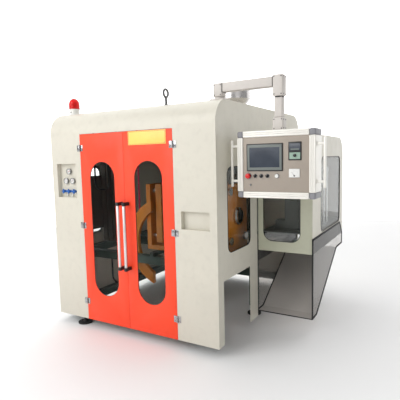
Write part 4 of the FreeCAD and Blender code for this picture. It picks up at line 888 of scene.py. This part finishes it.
class BLOWMOULDER_OT_box_instruments(bpy.types.Operator):
    """Build the speed controller and the panel meter"""
    bl_idname = "blowmoulder.box_instruments"
    bl_label = "Controller and meter"

    def execute(self, context):
        x0, x1, z0, z1 = 2466.5, 2568.5, 1659, 1800
        case = bar(mm(x0, 155, z0), mm(x1, 162, z1), 0.0034, 4)
        piece(case, "controller_case", "control_box", "black",
              ("speed_controller",))
        face = bar(mm(x0 + 9, 154.3, z0 + 10), mm(x1 - 9, 155.5, z0 + 60), 0.0005, 1)
        piece(face, "controller_scale", "control_box", "display",
              ("speed_controller",))
        window = bar(mm(x0 + 9, 154.3, z0 + 76), mm(x1 - 9, 155.5, z1 - 12), 0.0005, 1)
        piece(window, "controller_window", "control_box", "screen",
              ("speed_controller",))
        strip = bar(mm(x0 + 18, 153.9, z0 + 79), mm(x1 - 18, 154.6, z0 + 90), 0.0002, 1)
        piece(strip, "controller_strip", "control_box", "screen_grey")
        knob = turned(mm(KNOB_X, 154.6, KNOB_Z), "-Y", (
            (0.012, 0.0), (0.012, 0.003), (0.0098, 0.004), (0.009, 0.0145),
            (0.0078, 0.0155)), 32)
        pointer = bar(mm(KNOB_X - 0.7, 138.8, KNOB_Z + 1), mm(KNOB_X + 0.7, 139.6, KNOB_Z + 8),
                      0.0001, 1)
        piece(knob, "controller_knob", "speed_knob", "black",
              ("speed_knob",))
        piece(pointer, "controller_pointer", "speed_knob", "white")
        marks = []
        for step in range(11):
            turn = math.radians(230 - step * 28)
            mark = bar(Vector((0.0145, -0.0002, -0.0004)), Vector((0.0175, 0.0002, 0.0004)),
                       0.0)
            mark.matrix_world = (Matrix.Translation(mm(KNOB_X, 154.1, KNOB_Z))
                                 @ Matrix.Rotation(-turn, 4, "Y"))
            marks.append(apply_place(mark))
        a0, a1, b0, b1 = 2471.5, 2555.5, 1528, 1594
        meter = bar(mm(a0, 155, b0), mm(a1, 162, b1), 0.002, 3)
        piece(meter, "meter_case", "control_box", "white", ("panel_meter",))
        for step in range(9):
            turn = math.radians(140 - step * 12.5)
            mark = bar(Vector((0.034, -0.0002, -0.0003)), Vector((0.039, 0.0002, 0.0003)),
                       0.0)
            mark.matrix_world = (Matrix.Translation(mm(METER_X, 154.9, METER_Z))
                                 @ Matrix.Rotation(-turn, 4, "Y"))
            marks.append(apply_place(mark))
        piece(joined(marks), "instrument_marks", "control_box", "black")
        hand = bar(Vector((0.0, -0.0003, -0.0005)), Vector((0.033, 0.0003, 0.0005)), 0.0)
        hand.matrix_world = (Matrix.Translation(mm(METER_X, 154.5, METER_Z))
                             @ Matrix.Rotation(math.radians(-125), 4, "Y"))
        apply_place(hand)
        hub = turned(mm(METER_X, 155, METER_Z), "-Y", ((0.006, 0.0), (0.006, 0.002),
                                                   (0.004, 0.003)), 24)
        piece(joined([hand, hub]), "meter_hand", "control_box", "black")
        return {"FINISHED"}


class BLOWMOULDER_OT_box_switches(bpy.types.Operator):
    """Build the stop button, the three selectors, the start button and their bezels"""
    bl_idname = "blowmoulder.box_switches"
    bl_label = "Switches"

    def execute(self, context):
        bezels = []
        for x, radius in ((STOP_X, 0.026), (SWITCH_X[0], 0.0168), (SWITCH_X[1], 0.0168),
                          (SWITCH_X[2], 0.0168), (START_X, 0.019)):
            ring = turned(mm(x, BOX_FACE, SWITCH_Z), "-Y", (
                (radius, 0.0), (radius, 0.0014), (radius - 0.0016, 0.003),
                (radius - 0.004, 0.003)), 44)
            if x in (STOP_X, START_X):
                cutting(ring, stem_bore(x))
            bezels.append(ring)
        bezels.append(turned(mm(LOCK_X, BOX_FACE, LOCK_Z), "-Y", (
            (0.009, 0.0), (0.009, 0.006), (0.0075, 0.009), (0.004, 0.009),
            (0.004, 0.008)), 32))
        piece(joined(bezels), "switch_rings", "control_box", "chrome",
              ("switch_bezels",))
        stop = turned(mm(STOP_X, 171, SWITCH_Z), "-Y", (
            (0.007, 0.0), (0.007, 0.019), (0.021, 0.019), (0.022, 0.021),
            (0.0215, 0.031), (0.018, 0.0366), (0.009, 0.0388)), 48)
        piece(stop, "stop_mushroom", "stop_button", "red", ("stop_button",))
        for number, x in enumerate(SWITCH_X, start=1):
            name = "selector_%d" % number
            knob = turned(mm(x, 158.7, SWITCH_Z), "-Y", (
                (0.0138, 0.0), (0.014, 0.001), (0.0135, 0.007), (0.0125, 0.008)), 40)
            lever = bar(mm(x - 3.5, 138.8, SWITCH_Z - 14), mm(x + 3.5, 152, SWITCH_Z + 14),
                        0.002, 4)
            piece(joined([knob, lever]), name + "_knob", name, "black",
                  (name,))
            stripe = bar(mm(x - 0.6, 138.5, SWITCH_Z + 4), mm(x + 0.6, 139.2, SWITCH_Z + 13),
                         0.0)
            piece(stripe, name + "_mark", name, "white")
        start = turned(mm(START_X, 171, SWITCH_Z), "-Y", (
            (0.007, 0.0), (0.007, 0.017), (0.0145, 0.017), (0.015, 0.018),
            (0.0148, 0.0215), (0.0135, 0.0228)), 44)
        piece(start, "start_cap", "start_button", "white", ("start_button",))
        return {"FINISHED"}


def round_rectangle(low, high, radius, count=10):
    """Points round a rectangle with round corners, in its own two axes, in millimetres."""
    points = []
    corners = ((high[0] - radius, high[1] - radius, 0.0), (low[0] + radius, high[1] - radius, 90.0),
               (low[0] + radius, low[1] + radius, 180.0),
               (high[0] - radius, low[1] + radius, 270.0))
    for across, up, start in corners:
        for step in range(count + 1):
            turn = math.radians(start + 90.0 * step / count)
            points.append((across + radius * math.cos(turn), up + radius * math.sin(turn)))
    return points


class BLOWMOULDER_OT_window_seals(bpy.types.Operator):
    """Build the black rubber seals round the side and extension windows"""
    bl_idname = "blowmoulder.window_seals"
    bl_label = "Window seals"

    def execute(self, context):
        seals = []
        side = round_rectangle((194, 866), (671, 1611), 70)
        for x in (3.4, 1920.0):
            seals.append(swept([mm(x, y, z) for y, z in side], SEAL_WIRE, closed=True, order=2))
        rear = round_rectangle((1165, 930), (2011, 1675), 70)
        seals.append(swept([mm(2466, y, z) for y, z in rear], SEAL_WIRE, closed=True, order=2))
        front = round_rectangle((1982, 868), (2348, 1640), 90)
        seals.append(swept([mm(x, 860, z) for x, z in front], SEAL_WIRE, closed=True, order=2))
        piece(joined(seals), "window_rubbers", "root", "rubber")
        return {"FINISHED"}


class BLOWMOULDER_OT_chute_edging(bpy.types.Operator):
    """Build the black edge strips on the chute walls and on the slide's lip"""
    bl_idname = "blowmoulder.chute_edging"
    bl_label = "Chute edging"

    def execute(self, context):
        outline = ((850, 140), (850, 915), (2015, 915), (2145, 775), (2145, 640),
                   (1857, 640), (1000, 140), (850, 140))
        strips = []
        half = sizes().edge_strip * 500
        for x in (1914.5, 2468.5):
            for (y0, z0), (y1, z1) in zip(outline, outline[1:]):
                long = math.hypot(y1 - y0, z1 - z0)
                strip = bar(Vector((-0.006, 0.0, -half / 1000)),
                            Vector((0.006, long / 1000, half / 1000)), 0.0015, 2)
                inward = Vector((y1 - y0, z1 - z0)).normalized()
                shift = Vector((inward.y, -inward.x)) * (half - 1.5)
                strip.matrix_world = (
                    Matrix.Translation(mm(x, y0 + shift.x, z0 + shift.y))
                    @ Matrix.Rotation(math.atan2(z1 - z0, y1 - y0), 4, "X"))
                strips.append(apply_place(strip))
        strips.append(bar(mm(1917, 848, 138), mm(2466, 856, 147), 0.0015, 2))
        piece(joined(strips), "chute_edge_strips", "root", "rubber")
        return {"FINISHED"}

class BLOWMOULDER_OT_frame_finishes(bpy.types.Operator):
    """Give every node of the frame its procedural finish"""
    bl_idname = "blowmoulder.frame_finishes"
    bl_label = "Frame finishes"

    def execute(self, context):
        MATERIALS.update(make_materials())
        for finish, names in NODE_FINISH.items():
            for name in names:
                for holder in NODES[name].material_slots:
                    holder.material = MATERIALS[finish]
        return {"FINISHED"}


class BLOWMOULDER_OT_studio(bpy.types.Operator):
    """Add the pale floor, the soft lights and the camera"""
    bl_idname = "blowmoulder.studio"
    bl_label = "Studio"

    def execute(self, context):
        scene = context.scene
        deselect()
        bpy.ops.mesh.primitive_plane_add(size=60.0, location=(0, 0, 0))
        floor = context.object
        floor.name = "floor"
        floor.data.materials.append(finish_material(
            "floor_paint", (0.90, 0.90, 0.90), (0.6, 0.75), depth=0.01, patches=0.6,
            bump=0.0, wear=0.0))
        heading = math.radians(30.4)
        deselect()
        bpy.ops.mesh.primitive_plane_add(
            size=60.0, location=(-math.sin(heading) * 6.0, math.cos(heading) * 6.0, 0.0),
            rotation=(math.radians(90.0), 0.0, heading))
        backdrop = context.object
        backdrop.name = "backdrop"
        paper, nodes, links = new_material("backdrop_paper")
        shader = nodes["Principled BSDF"]
        shader.inputs["Emission Strength"].default_value = 1.0
        cloud = noise(nodes, links, 0.3)
        links.new(tint(nodes, links, cloud, (0.995, 0.995, 0.995), (1.0, 1.0, 1.0)),
                  shader.inputs["Emission Color"])
        backdrop.data.materials.append(paper)
        world = bpy.data.worlds.new("studio_world")
        world.use_nodes = True
        world.node_tree.nodes["Background"].inputs["Color"].default_value = (1, 1, 1, 1)
        world.node_tree.nodes["Background"].inputs["Strength"].default_value = 0.42
        scene.world = world
        lamps = (("key", (-2.6, -6.0, 4.2), 5.0, 270.0), ("fill", (5.5, -4.5, 3.2), 4.0, 30.0),
                 ("top", (0.0, 0.0, 6.5), 6.0, 70.0))
        for name, place, across, power in lamps:
            light = bpy.data.lights.new(name, "AREA")
            light.size = across
            light.energy = power
            lamp = bpy.data.objects.new(name, light)
            lamp.location = place
            aim = Vector((0.1, 0.0, 1.1)) - Vector(place)
            lamp.rotation_euler = aim.to_track_quat("-Z", "Y").to_euler()
            context.collection.objects.link(lamp)
        camera_data = bpy.data.cameras.new("camera")
        camera_data.sensor_width = 36.0
        camera_data.lens = 37.2
        camera_data.clip_end = 100.0
        camera = bpy.data.objects.new("camera", camera_data)
        turn = (Matrix.Rotation(math.radians(30.4), 4, "Z")
                @ Matrix.Rotation(math.radians(-5.78), 4, "X")
                @ Matrix.Rotation(math.radians(1.34), 4, "Y")
                @ Matrix.Rotation(math.radians(90.0), 4, "X"))
        camera.matrix_world = Matrix.Translation(at(3.489, -2.941, 1.692)) @ turn
        context.collection.objects.link(camera)
        scene.camera = camera
        scene.view_settings.view_transform = "Standard"
        return {"FINISHED"}


OPERATORS = (
    BLOWMOULDER_OT_frame_finishes,
    BLOWMOULDER_OT_doors,
    BLOWMOULDER_OT_fixed_hinges,
    BLOWMOULDER_OT_door_handles,
    BLOWMOULDER_OT_door_plate,
    BLOWMOULDER_OT_gauges,
    BLOWMOULDER_OT_air_taps,
    BLOWMOULDER_OT_warning_lamp,
    BLOWMOULDER_OT_lifting_eye,
    BLOWMOULDER_OT_swivel_arm,
    BLOWMOULDER_OT_box_case,
    BLOWMOULDER_OT_box_screen,
    BLOWMOULDER_OT_box_instruments,
    BLOWMOULDER_OT_box_switches,
    BLOWMOULDER_OT_window_seals,
    BLOWMOULDER_OT_chute_edging,
    BLOWMOULDER_OT_studio,
)


class BLOWMOULDER_PT_panel(bpy.types.Panel):
    """Lists the steps that build the machine's looks"""
    bl_idname = "BLOWMOULDER_PT_panel"
    bl_label = "Blow Moulder"
    bl_space_type = "VIEW_3D"
    bl_region_type = "UI"
    bl_category = "Blow Moulder"

    def draw(self, context):
        for step in OPERATORS:
            self.layout.operator(step.bl_idname)
        for group in (colours(), sizes()):
            for name in group.bl_rna.properties.keys():
                if name not in {"rna_type", "name"}:
                    self.layout.prop(group, name)


CLASSES = (BlowMoulderColours, BlowMoulderSizes) + OPERATORS + (BLOWMOULDER_PT_panel,)


def register():
    for item in CLASSES:
        bpy.utils.register_class(item)
    bpy.types.Scene.blow_moulder_colours = bpy.props.PointerProperty(
        type=BlowMoulderColours)
    bpy.types.Scene.blow_moulder_sizes = bpy.props.PointerProperty(type=BlowMoulderSizes)


def unregister():
    del bpy.types.Scene.blow_moulder_sizes
    del bpy.types.Scene.blow_moulder_colours
    for item in reversed(CLASSES):
        bpy.utils.unregister_class(item)


def main():
    register()
    for step in OPERATORS:
        group, name = step.bl_idname.split(".")
        getattr(getattr(bpy.ops, group), name)()


if __name__ == "__main__":
    main()
